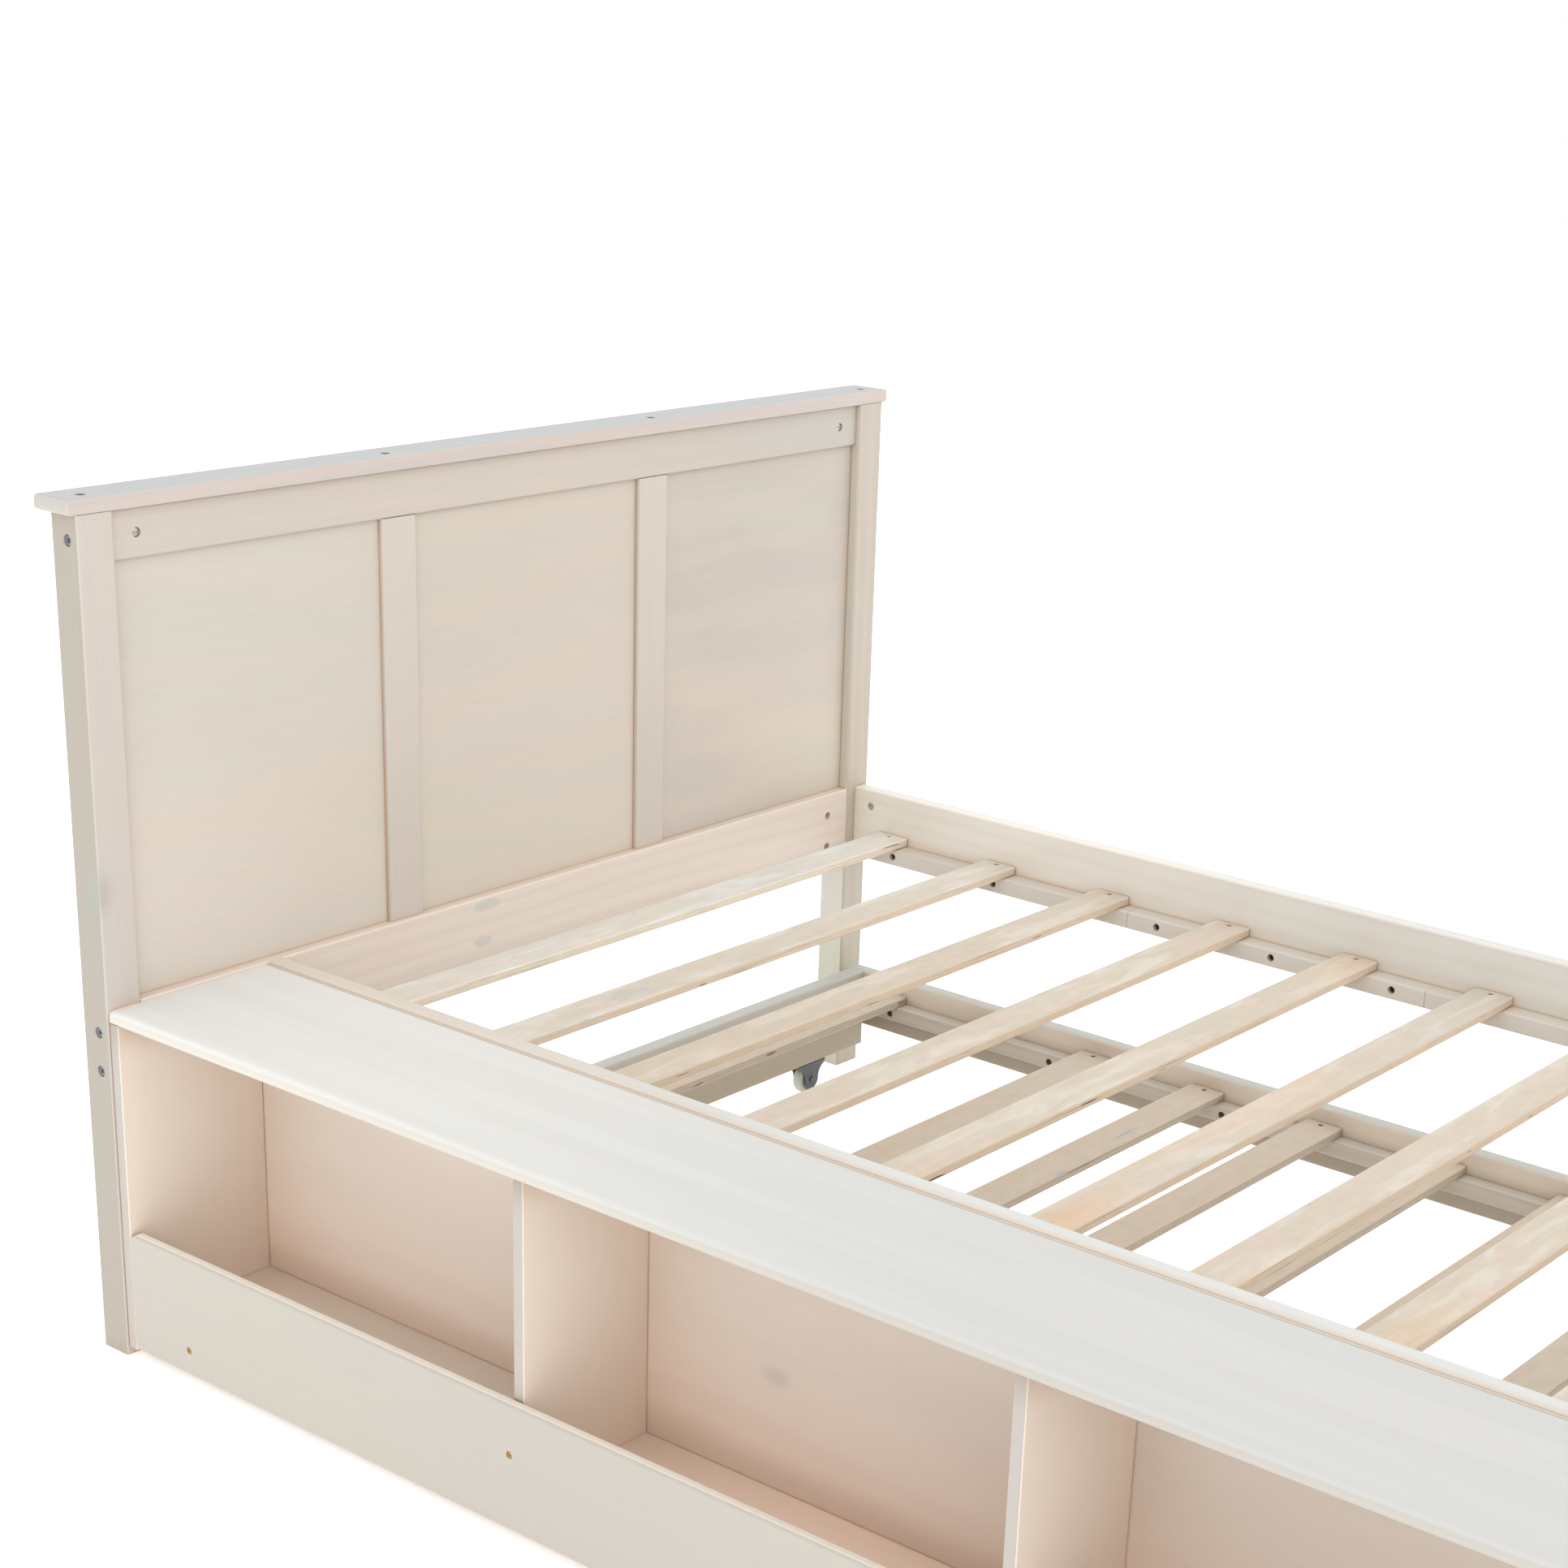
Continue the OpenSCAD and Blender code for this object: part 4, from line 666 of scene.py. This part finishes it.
def bare_wood(name, base, shade, pitch=None, heart=0.45, blushing=0.8, spots=(), drifts=()):
    """Bare pale slat wood: silky fibre, rosy and orange heartwood, pin knots and layered edges."""
    finish = bpy.context.scene.bed_finish
    material, nodes, shader = new_finish(name)
    place, piece = board_space(nodes, "X", pitch)
    fibre = nodes.grained(place, SLAT_FIBRE, 3.0, 0.6)
    ripple = nodes.grained(place, SLAT_RIPPLE, 2.0, 0.55)
    heartwood = nodes.grained(place, SLAT_HEART, 3.0, 0.6, 0.4)
    blush = nodes.grained(place, SLAT_BLUSH, 3.0, 0.65, 1.0)
    silk = nodes.grained(place, SLAT_SILK, 2.0, 0.5, 1.2)
    rings = growth_figure(nodes, place, SLAT_RINGS, SLAT_WAVINESS)
    warmth = nodes.math("SUBTRACT", heartwood, nodes.span(piece, *HEART_REACH))
    tone = nodes.mix(nodes.span(silk, *BLUSH_STEP, 0.0, blushing), rgba(base), rgba(finish.silk))
    tone = nodes.mix(nodes.span(blush, *BLUSH_STEP, 0.0, blushing), tone, rgba(finish.rosy))
    tone = nodes.mix(nodes.span(warmth, *HEART_STEP, 0.0, heart), tone, rgba(finish.heartwood))
    tone = nodes.mix(nodes.math("MULTIPLY", rings, SLAT_FIGURE), tone, rgba(finish.slat_edge))
    tone = nodes.mix(nodes.span(piece, *GREY_BOARDS), tone, rgba(finish.grey_wash))
    tone = spotted(nodes, tone, spots, blush)
    pin = nodes.add("ShaderNodeTexVoronoi")
    nodes.put(pin.inputs["Vector"], nodes.vector("MULTIPLY", place, PIN_CELLS))
    tone = nodes.mix(nodes.span(pin.outputs["Distance"], *PIN_STEP), tone, rgba(finish.crack))
    flank = nodes.math("ABSOLUTE", nodes.split(nodes.normal())[1])
    edge = ply_edge(nodes, place, nodes.mix(EDGE_SHARE, tone, rgba(shade)), shade)
    tone = drifted(nodes, nodes.mix(nodes.span(flank, *EDGE_STEP), tone, edge), drifts)
    light = nodes.math("MULTIPLY", nodes.span(fibre, *FIBRE_STEP, *SLAT_LIGHT),
                       nodes.span(ripple, *RIPPLE_LIGHT))
    nodes.put(shader.inputs["Base Color"], shaded(nodes, tone, light))
    nodes.put(shader.inputs["Roughness"], nodes.span(fibre, *SLAT_GLOSS))
    nodes.put(shader.inputs["Normal"], nodes.bump(fibre, *SLAT_BUMP))
    return material


def skin(name, base, other, blot, blots, shine, gloss, grit, bump, metallic=0.0):
    """Metal or plastic: blots of another tone, an uneven gloss and a fine grit.

    blot, shine and grit are noises (cells per metre, detail, roughness); blots and gloss are steps.
    """
    material, nodes, shader = new_finish(name)
    place = nodes.place()
    share = nodes.span(nodes.noise(place, *blot), *blots)
    nodes.put(shader.inputs["Base Color"], nodes.mix(share, rgba(base), rgba(other)))
    nodes.put(shader.inputs["Roughness"], nodes.span(nodes.noise(place, *shine), *gloss))
    nodes.put(shader.inputs["Normal"], nodes.bump(nodes.noise(place, *grit), *bump))
    shader.inputs["Metallic"].default_value = metallic
    return material


def plated(name, base, roughness, speckle):
    """Plated metal with a fine clouding of its shine."""
    gloss = (*GLOSS_STEP, roughness - PLATE_BRIGHTER, roughness + PLATE_DULLER)
    return skin(name, base, scaled(base, PLATE_DARK), PLATE_CLOUD, (*PLATE_STEP, 0.0, speckle),
                PLATE_CLOUD, gloss, PLATE_GRIT, PLATE_BUMP, PLATE_METAL)


def painted_steel(name, base):
    """Folded steel under a thin grey coat, with a slight orange peel and lighter rubbed places."""
    return skin(name, base, [min(1.0, channel) for channel in scaled(base, PAINT_RUBBED)], PAINT_CLOUD,
                PAINT_STEP, PAINT_CLOUD, (*GLOSS_STEP, *PAINT_GLOSS), PAINT_GRIT, PAINT_BUMP, PAINT_METAL)


def moulded(name, base):
    """Pale moulded plastic with a faint mottle and duller scuffed patches."""
    return skin(name, base, scaled(base, MOULD_DULL), MOULD_SCUFF, MOULD_STEP, MOULD_MOTTLE,
                (*GLOSS_STEP, *MOULD_GLOSS), MOULD_MOTTLE, MOULD_BUMP)


def dress(names, material):
    """Gives the CAD pieces a material."""
    for name in names:
        piece = frame["nodes"][name]
        if not piece.material_slots:
            piece.data.materials.append(material)
        for slot in piece.material_slots:
            slot.material = material


def body_of_node(name):
    """The body whose nodes include name."""
    for body, members in frame["record"]["behaviour"]["bodies"].items():
        if name in members:
            return body
    raise RuntimeError("no body holds " + name)


def loose_solids(name):
    """Corner points of each separate solid of a CAD node."""
    mesh = bmesh.new()
    mesh.from_mesh(frame["nodes"][name].data)
    bmesh.ops.remove_doubles(mesh, verts=mesh.verts, dist=WELD)
    waiting = set(mesh.verts)
    solids = []
    while waiting:
        reached = [waiting.pop()]
        points = []
        while reached:
            vertex = reached.pop()
            points.append(vertex.co.copy())
            for edge in vertex.link_edges:
                other = edge.other_vert(vertex)
                if other in waiting:
                    waiting.remove(other)
                    reached.append(other)
        solids.append(points)
    mesh.free()

    def middle(points):
        return tuple(round(c, ORDER_DIGITS) for c in sum(points, Vector()) / len(points))

    return sorted(solids, key=middle)


class Seat:
    """Where one CAD fastener lies: its head's centre and direction, and its sizes."""

    def __init__(self, points, slotted=False):
        low = Vector([min(p[i] for p in points) for i in range(3)])
        high = Vector([max(p[i] for p in points) for i in range(3)])
        size = high - low
        axis = max(range(3), key=lambda i: size[i])
        middle = (low + high) / 2
        sides = [i for i in range(3) if i != axis]

        def radius(p):
            return math.hypot(p[sides[0]] - middle[sides[0]], p[sides[1]] - middle[sides[1]])

        self.length = size[axis]
        self.radius = max(radius(p) for p in points)
        wide = [p[axis] for p in points if radius(p) > WIDEST * self.radius]
        low_end = [p for p in points if p[axis] - low[axis] < NEAR_END]
        high_end = [p for p in points if high[axis] - p[axis] < NEAR_END]
        if slotted:
            self.up = len(high_end) > len(low_end)
        else:
            self.up = sum(wide) / len(wide) > middle[axis]
        self.head = max(wide) - min(wide)
        tip = [p for p in points if abs(p[axis] - (low if self.up else high)[axis]) < NEAR_END]
        self.shank = max(radius(p) for p in tip)
        direction = Vector((0, 0, 0))
        direction[axis] = 1.0 if self.up else -1.0
        top = middle.copy()
        top[axis] = (high if self.up else low)[axis]
        self.matrix = Matrix.Translation(top) @ direction.to_track_quat("Z", "Y").to_matrix().to_4x4()


def folded(angle, arms):
    """Angle from the nearest of several equal arms."""
    step = 2 * math.pi / arms
    return (angle + step / 2) % step - step / 2


def hex_outline(angle, half):
    """Radius of a hexagon with half its width across flats."""
    return half / math.cos(folded(angle, 6))


def cross_outline(angle, reach, half):
    """Radius of a cross with the reach and half width of its arms."""
    off = abs(folded(angle, 4))
    return min(reach / math.cos(off), half / max(math.sin(off), NARROWEST))


def slot_outline(angle, reach, half):
    """Radius of a slot with its reach and half width."""
    off = abs(folded(angle, 2))
    return min(reach / max(math.cos(off), NARROWEST), half / max(math.sin(off), NARROWEST))


def ring(mesh, height, radii):
    """A closed ring of vertices with a radius for each side."""
    step = 2 * math.pi / len(radii)
    return [mesh.verts.new((radius * math.cos(i * step), radius * math.sin(i * step), height))
            for i, radius in enumerate(radii)]


def add_fastener(mesh, seat, outline, depth, hardware):
    """Adds one fastener to mesh: domed head with a rounded rim and a driver's recess, shank and tip."""
    start = len(mesh.verts)
    rim = min(hardware.rim, RIM_MOST * seat.head)
    flat = seat.radius - rim
    opening = [outline(i * 2 * math.pi / SIDES) for i in range(SIDES)]
    if seat.shank > WIDEST * seat.radius:
        rings = [(-seat.length, seat.radius - NUT_END * rim), (-seat.length + NUT_END * rim, seat.radius)]
    else:
        rings = [(-seat.length, POINT_RADIUS * seat.shank),
                 (-seat.length + POINT_LENGTH * seat.shank, seat.shank),
                 (-seat.head, seat.shank),
                 (-seat.head, seat.radius - RIM_BELOW * rim),
                 (-seat.head + RIM_BELOW * rim, seat.radius)]
    for turn in range(RIM_TURNS):
        angle = turn * RIM_STEP
        rings.append((rim * (math.sin(angle) - 1) - hardware.dome, flat + rim * math.cos(angle)))
    rings = [(height, [radius] * SIDES) for height, radius in rings]
    reach = max(opening)
    rings += [(-DOME_FALL * hardware.dome, [max(o, HALFWAY * (flat + reach)) for o in opening]),
              (0.0, [o + RECESS_LIP for o in opening]),
              (-RECESS_LIP, opening),
              (-depth, [RECESS_TAPER * o for o in opening])]
    loops = [ring(mesh, height, radii) for height, radii in rings]
    for low, high in zip(loops, loops[1:]):
        for i in range(SIDES):
            j = (i + 1) % SIDES
            mesh.faces.new((low[i], low[j], high[j], high[i]))
    mesh.faces.new(list(reversed(loops[0])))
    centre = mesh.verts.new((0, 0, -depth - RECESS_POINT))
    for i in range(SIDES):
        mesh.faces.new((loops[-1][i], loops[-1][(i + 1) % SIDES], centre))
    mesh.verts.ensure_lookup_table()
    for vertex in mesh.verts[start:]:
        vertex.co = seat.matrix @ vertex.co


def fastener_piece(node, outline, depth, material, slotted=False):
    """Replaces a node of fasteners with one mesh in which each has its turned head and recess."""
    hardware = bpy.context.scene.bed_hardware
    mesh = bmesh.new()
    for points in loose_solids(node):
        seat = Seat(points, slotted)
        add_fastener(mesh, seat, lambda angle: outline(angle, seat.radius), depth, hardware)
    bmesh.ops.recalc_face_normals(mesh, faces=mesh.faces)
    data = bpy.data.meshes.new(node + "_turned")
    mesh.to_mesh(data)
    mesh.free()
    data.shade_smooth()
    data.set_sharp_from_angle(angle=SHARP)
    data.materials.append(material)
    piece = bpy.data.objects.new(node + "_turned", data)
    bpy.context.scene.collection.objects.link(piece)
    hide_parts(node)
    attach(piece, body_of_node(node))


class BED_OT_stage(bpy.types.Operator):
    """Set up the camera, the even white light and the pale floor"""
    bl_idname = "bed.stage"
    bl_label = "Stage"

    def execute(self, context):
        stage = context.scene.bed_stage
        lens = bpy.data.cameras.new("camera")
        lens.lens = stage.lens
        lens.shift_x, lens.shift_y = stage.shift_x, stage.shift_y
        camera = bpy.data.objects.new("camera", lens)
        camera.location = stage.camera_place
        camera.rotation_euler = stage.camera_turn
        context.scene.collection.objects.link(camera)
        context.scene.camera = camera
        context.scene.view_settings.view_transform = "Standard"
        context.scene.view_settings.look = "None"
        self.light_room(context, stage)
        self.lay_floor(context, stage)
        return {"FINISHED"}

    def light_room(self, context, stage):
        world = bpy.data.worlds.new("studio")
        world.use_nodes = True
        background = world.node_tree.nodes["Background"]
        background.inputs["Color"].default_value = WHITE
        background.inputs["Strength"].default_value = stage.sky
        context.scene.world = world
        for name, toward, tint in LAMPS:
            lamp = bpy.data.lights.new(name, "SUN")
            lamp.angle = stage.softness
            lamp.energy = getattr(stage, name)
            lamp.color = tint
            light = bpy.data.objects.new(name, lamp)
            light.location = toward
            light.rotation_euler = Vector(toward).to_track_quat("Z", "Y").to_euler()
            context.scene.collection.objects.link(light)

    def lay_floor(self, context, stage):
        mesh = bmesh.new()
        bmesh.ops.create_grid(mesh, x_segments=FLOOR_CELLS, y_segments=FLOOR_CELLS, size=FLOOR_HALF)
        data = bpy.data.meshes.new("floor")
        mesh.to_mesh(data)
        mesh.free()
        material, nodes, shader = new_finish("floor")
        mottle = nodes.span(nodes.noise(nodes.place(), *FLOOR_MOTTLE), *FLOOR_STEP)
        nodes.put(shader.inputs["Base Color"], shaded(nodes, rgba(stage.floor), mottle))
        shader.inputs["Roughness"].default_value = FLOOR_ROUGHNESS
        shader.inputs["Emission Color"].default_value = WHITE
        shader.inputs["Emission Strength"].default_value = stage.floor_glow
        data.materials.append(material)
        floor = bpy.data.objects.new("floor", data)
        floor.location = (0, 0, CAD_LOW.z - FLOOR_CLEAR)
        context.scene.collection.objects.link(floor)


class BED_OT_headboard(bpy.types.Operator):
    """Wash the posts, rails, stiles, cap and panels of the headboard and the footboard"""
    bl_idname = "bed.headboard"
    bl_label = "Headboard and footboard"

    def execute(self, context):
        finish = context.scene.bed_finish
        dress(NEAR_POSTS, washed_wood(
            "washed_post", scaled(finish.wash, NEAR_POST_SHARE), "Z", rosy=0.35,
            # Painted shade on the near posts' outer faces
            faces=((0, -1.0, finish.outer),), spots=POST_SPOTS))
        dress(FAR_POSTS, washed_wood(
            # Painted shade on the far posts and legs, painted light on their faces to the bookcase
            "washed_far_post", finish.shaded_leg, "Z", rosy=0.3, corner_shades=LEG_SHADE,
            faces=((0, -1.0, finish.lit_leg_side),), drifts=LEG_LIGHT_AND_SHADE))
        dress(STILES, washed_wood("washed_stile", finish.wash, "Z", rosy=0.3, khaki=0.3))
        dress(CROSS_RAILS, washed_wood(
            "washed_rail", scaled(finish.wash, CROSS_RAIL_SHARE), "X", rosy=0.3, khaki=0.4,
            drifts=CROSS_DRIFT))
        dress(["headboard_lower_rail"], washed_wood(
            # Painted light on the lower rail
            "washed_lower_rail", finish.lower_rail_lit, "X", rosy=0.3, spots=RAIL_SPOTS))
        dress(["headboard_cap"], washed_wood(
            "washed_cap", finish.cap, "X", rosy=0.12, grey=0.2,
            # Painted shade on the cap's top and end faces
            faces=((2, 1.0, finish.cap_top_shade), (0, -1.0, finish.cap_end_shade))))
        for name, darker in PANEL_SHARES.items():
            dress([name], washed_wood(
                "washed_" + name, scaled(finish.panel, darker), "X", figure=0.2, rosy=0.42, grey=0.10,
                spacing=0.06, khaki=0.75, drifts=PANEL_LIGHT_DRIFT))
        return {"FINISHED"}


class BED_OT_side_rails(bpy.types.Operator):
    """Wash the side rails and the ledgers that carry the slats"""
    bl_idname = "bed.side_rails"
    bl_label = "Side rails"

    def execute(self, context):
        finish = context.scene.bed_finish
        dress(["side_rail_near"], washed_wood(
            "washed_near_rail", finish.near_rail, "Y", rosy=0.12, figure=0.08, drifts=RAIL_DRIFT,
            strips=((RAIL_WHITE, finish.rail_white, RAIL_FADE),)))
        dress(["side_rail_far"], washed_wood(
            # Painted light on the far side rail
            "washed_far_rail", finish.far_rail_lit, "Y", rosy=0.15, figure=0.1, drifts=FAR_DRIFT))
        dress(LEDGERS, washed_wood("washed_ledger", finish.ledger, "Y", rosy=0.12))
        return {"FINISHED"}


class BED_OT_bed_slats(bpy.types.Operator):
    """Give the slats their bare pale wood, each board with its own figure"""
    bl_idname = "bed.bed_slats"
    bl_label = "Bed slats"

    def execute(self, context):
        finish = context.scene.bed_finish
        dress(BED_SLATS, bare_wood(
            "bare_slat", finish.slat, finish.slat_edge, spots=SLAT_SPOTS, drifts=SLAT_LIGHT_DRIFT))
        return {"FINISHED"}


class BED_OT_bookcase(bpy.types.Operator):
    """Wash the bookcase: its pale top, its front board and the rosy boards inside"""
    bl_idname = "bed.bookcase"
    bl_label = "Bookcase"

    def execute(self, context):
        finish = context.scene.bed_finish
        dress(["bookcase_top"], washed_wood(
            "washed_top", finish.top_wash, "Y", figure=0.03, rosy=0.08, grey=0.45, streak=0.008,
            # Painted light towards the headboard and painted shade on the front face
            brush=0.022, drifts=TOP_LIGHT_DRIFT, faces=((0, -1.0, finish.top_nose_shade),),
            # The tan line is a painted shadow
            strips=((SHADOW_LINE_START, finish.strip_shadow_line, None), (STRIP_START, finish.strip, None))))
        dress(UPRIGHTS, washed_wood(
            # Painted light inside the bays, with the darker tone on the front edges
            "washed_upright", finish.compartment_lit, "Z", figure=0.02, rosy=0.06, grey=0.03, streak=0.005,
            faces=((0, -1.0, finish.board_edge),), corner_shades=BAY_SHADE, drifts=BOARD_SHADE_DRIFT))
        dress(["bookcase_shelf"], washed_wood(
            # Painted light on the shelf
            "washed_shelf", scaled(finish.compartment_lit, SHELF_SHARE), "Y", figure=0.04, rosy=0.1,
            grey=0.05, streak=0.006, corner_shades=BAY_SHADE, drifts=SHELF_DRIFT))
        dress(["bookcase_front_board"], washed_wood(
            "washed_front", finish.front, "Y", figure=0.03, rosy=0.06, grey=0.12, streak=0.006,
            # Painted light on the front board's top edge
            khaki=0.25, faces=((2, 1.0, finish.front_top_lit),)))
        dress(["bookcase_back"], washed_wood(
            # Painted light on the back panel
            "washed_back", scaled(finish.compartment_lit, BACK_SHARE), "Y", figure=0.06, rosy=0.15,
            grey=0.08, spacing=0.05, streak=0.006, corner_shades=BAY_SHADE, spots=BACK_SPOTS, drifts=BACK_LIGHT_AND_SHADE))
        return {"FINISHED"}


class BED_OT_trundle(bpy.types.Operator):
    """Finish the trundle's frame, ledgers and slats"""
    bl_idname = "bed.trundle"
    bl_label = "Trundle"

    def execute(self, context):
        finish = context.scene.bed_finish
        # Painted light on the top faces of the trundle's rails
        top = ((2, 1.0, finish.trundle_top_lit),)
        dress(TRUNDLE_CROSS, washed_wood(
            "washed_trundle_end", finish.trundle_end, "X", rosy=0.12, faces=top, corner_shades=UNDER_SHADE,
            drifts=END_SHADE_DRIFT))
        dress(TRUNDLE_LONG, washed_wood(
            "washed_trundle_side", finish.trundle_side, "Y", rosy=0.12, faces=top, corner_shades=UNDER_SHADE,
            drifts=TRUNDLE_SHADE_DRIFT))
        dress(["trundle_ledgers"], washed_wood(
            # Painted shade on the trundle's ledgers, except their top faces
            "washed_trundle_ledger", finish.trundle_ledger_shade, "Y", rosy=0.12,
            faces=((2, 1.0, finish.ledger),), corner_shades=UNDER_SHADE))
        slats = sorted(sum(p.y for p in points) / len(points) for points in loose_solids("trundle_slats"))
        pitch = (slats[-1] - slats[0]) / (len(slats) - 1)
        dress(["trundle_slats"], bare_wood(
            "bare_trundle_slat", finish.trundle_slat, finish.edge_shade, pitch=(pitch, slats[0]),
            heart=0.2, blushing=0.25, spots=TRUNDLE_SPOTS))
        return {"FINISHED"}


class BED_OT_casters(bpy.types.Operator):
    """Finish the casters' folded forks, axles and moulded wheels"""
    bl_idname = "bed.casters"
    bl_label = "Casters"

    def execute(self, context):
        finish = context.scene.bed_finish
        dress(["caster_forks"], painted_steel("caster_steel", finish.caster))
        dress(["caster_axles"], painted_steel("axle_zinc", finish.caster))
        dress(WHEELS, moulded("caster_wheel", finish.wheel))
        return {"FINISHED"}


class BED_OT_bolts(bpy.types.Operator):
    """Turn the hexagon socket bolts and the slotted barrel nuts of the bed's joints"""
    bl_idname = "bed.bolts"
    bl_label = "Bolts and barrel nuts"

    def execute(self, context):
        hardware, finish = context.scene.bed_hardware, context.scene.bed_finish
        zinc = plated("bright_zinc", finish.zinc, roughness=0.34, speckle=0.5)
        blue = plated("blue_zinc", finish.bolt, roughness=0.42, speckle=0.6)

        def socket(angle, radius):
            return hex_outline(angle, hardware.hex_share * radius)

        def nut_slot(angle, radius):
            return slot_outline(angle, NUT_SLOT * radius, hardware.slot_half)

        fastener_piece("bed_bolts", socket, hardware.hex_depth, blue)
        fastener_piece("barrel_nuts", nut_slot, hardware.recess, zinc, slotted=True)
        return {"FINISHED"}


class BED_OT_screws(bpy.types.Operator):
    """Turn the cross head screws of the slats, ledgers, cap, bookcase and trundle"""
    bl_idname = "bed.screws"
    bl_label = "Screws"

    def execute(self, context):
        hardware, finish = context.scene.bed_hardware, context.scene.bed_finish
        # Painted shade of deep holes on the screw heads
        dark = painted_steel("dark_zinc", finish.screw)
        brown = painted_steel("brown_zinc", finish.slat_screw_hole_shade)
        brass = plated("yellow_zinc", finish.brass, roughness=0.36, speckle=0.5)

        def cross(angle, radius):
            return cross_outline(angle, hardware.cross_reach * radius, hardware.cross_arm * radius)

        for node in SCREW_NODES:
            metal = {"bookcase_screws": brass, "slat_screws": brown}.get(node, dark)
            fastener_piece(node, cross, hardware.recess, metal)
        return {"FINISHED"}


class BED_PT_dresser(bpy.types.Panel):
    """Lists the steps that dress the bed"""
    bl_label = "Platform bed"
    bl_idname = "BED_PT_dresser"
    bl_space_type = "VIEW_3D"
    bl_region_type = "UI"
    bl_category = "Bed"

    def draw(self, context):
        for step in STEPS:
            self.layout.operator(step.bl_idname)
        for settings in ("bed_finish", "bed_hardware", "bed_stage"):
            group = getattr(context.scene, settings)
            box = self.layout.box()
            for name in group.bl_rna.properties.keys():
                if name not in ("name", "rna_type"):
                    box.prop(group, name)


STEPS = (BED_OT_stage, BED_OT_headboard, BED_OT_side_rails, BED_OT_bed_slats, BED_OT_bookcase,
         BED_OT_trundle, BED_OT_casters, BED_OT_bolts, BED_OT_screws)
CLASSES = (BedFinish, BedHardware, BedStage) + STEPS + (BED_PT_dresser,)


def register():
    for item in CLASSES:
        bpy.utils.register_class(item)
    bpy.types.Scene.bed_finish = PointerProperty(type=BedFinish)
    bpy.types.Scene.bed_hardware = PointerProperty(type=BedHardware)
    bpy.types.Scene.bed_stage = PointerProperty(type=BedStage)


def unregister():
    for name in ("bed_stage", "bed_hardware", "bed_finish"):
        delattr(bpy.types.Scene, name)
    for item in reversed(CLASSES):
        bpy.utils.unregister_class(item)


def main():
    register()
    for step in STEPS:
        group, name = step.bl_idname.split(".")
        getattr(getattr(bpy.ops, group), name)()


if __name__ == "__main__":
    main()
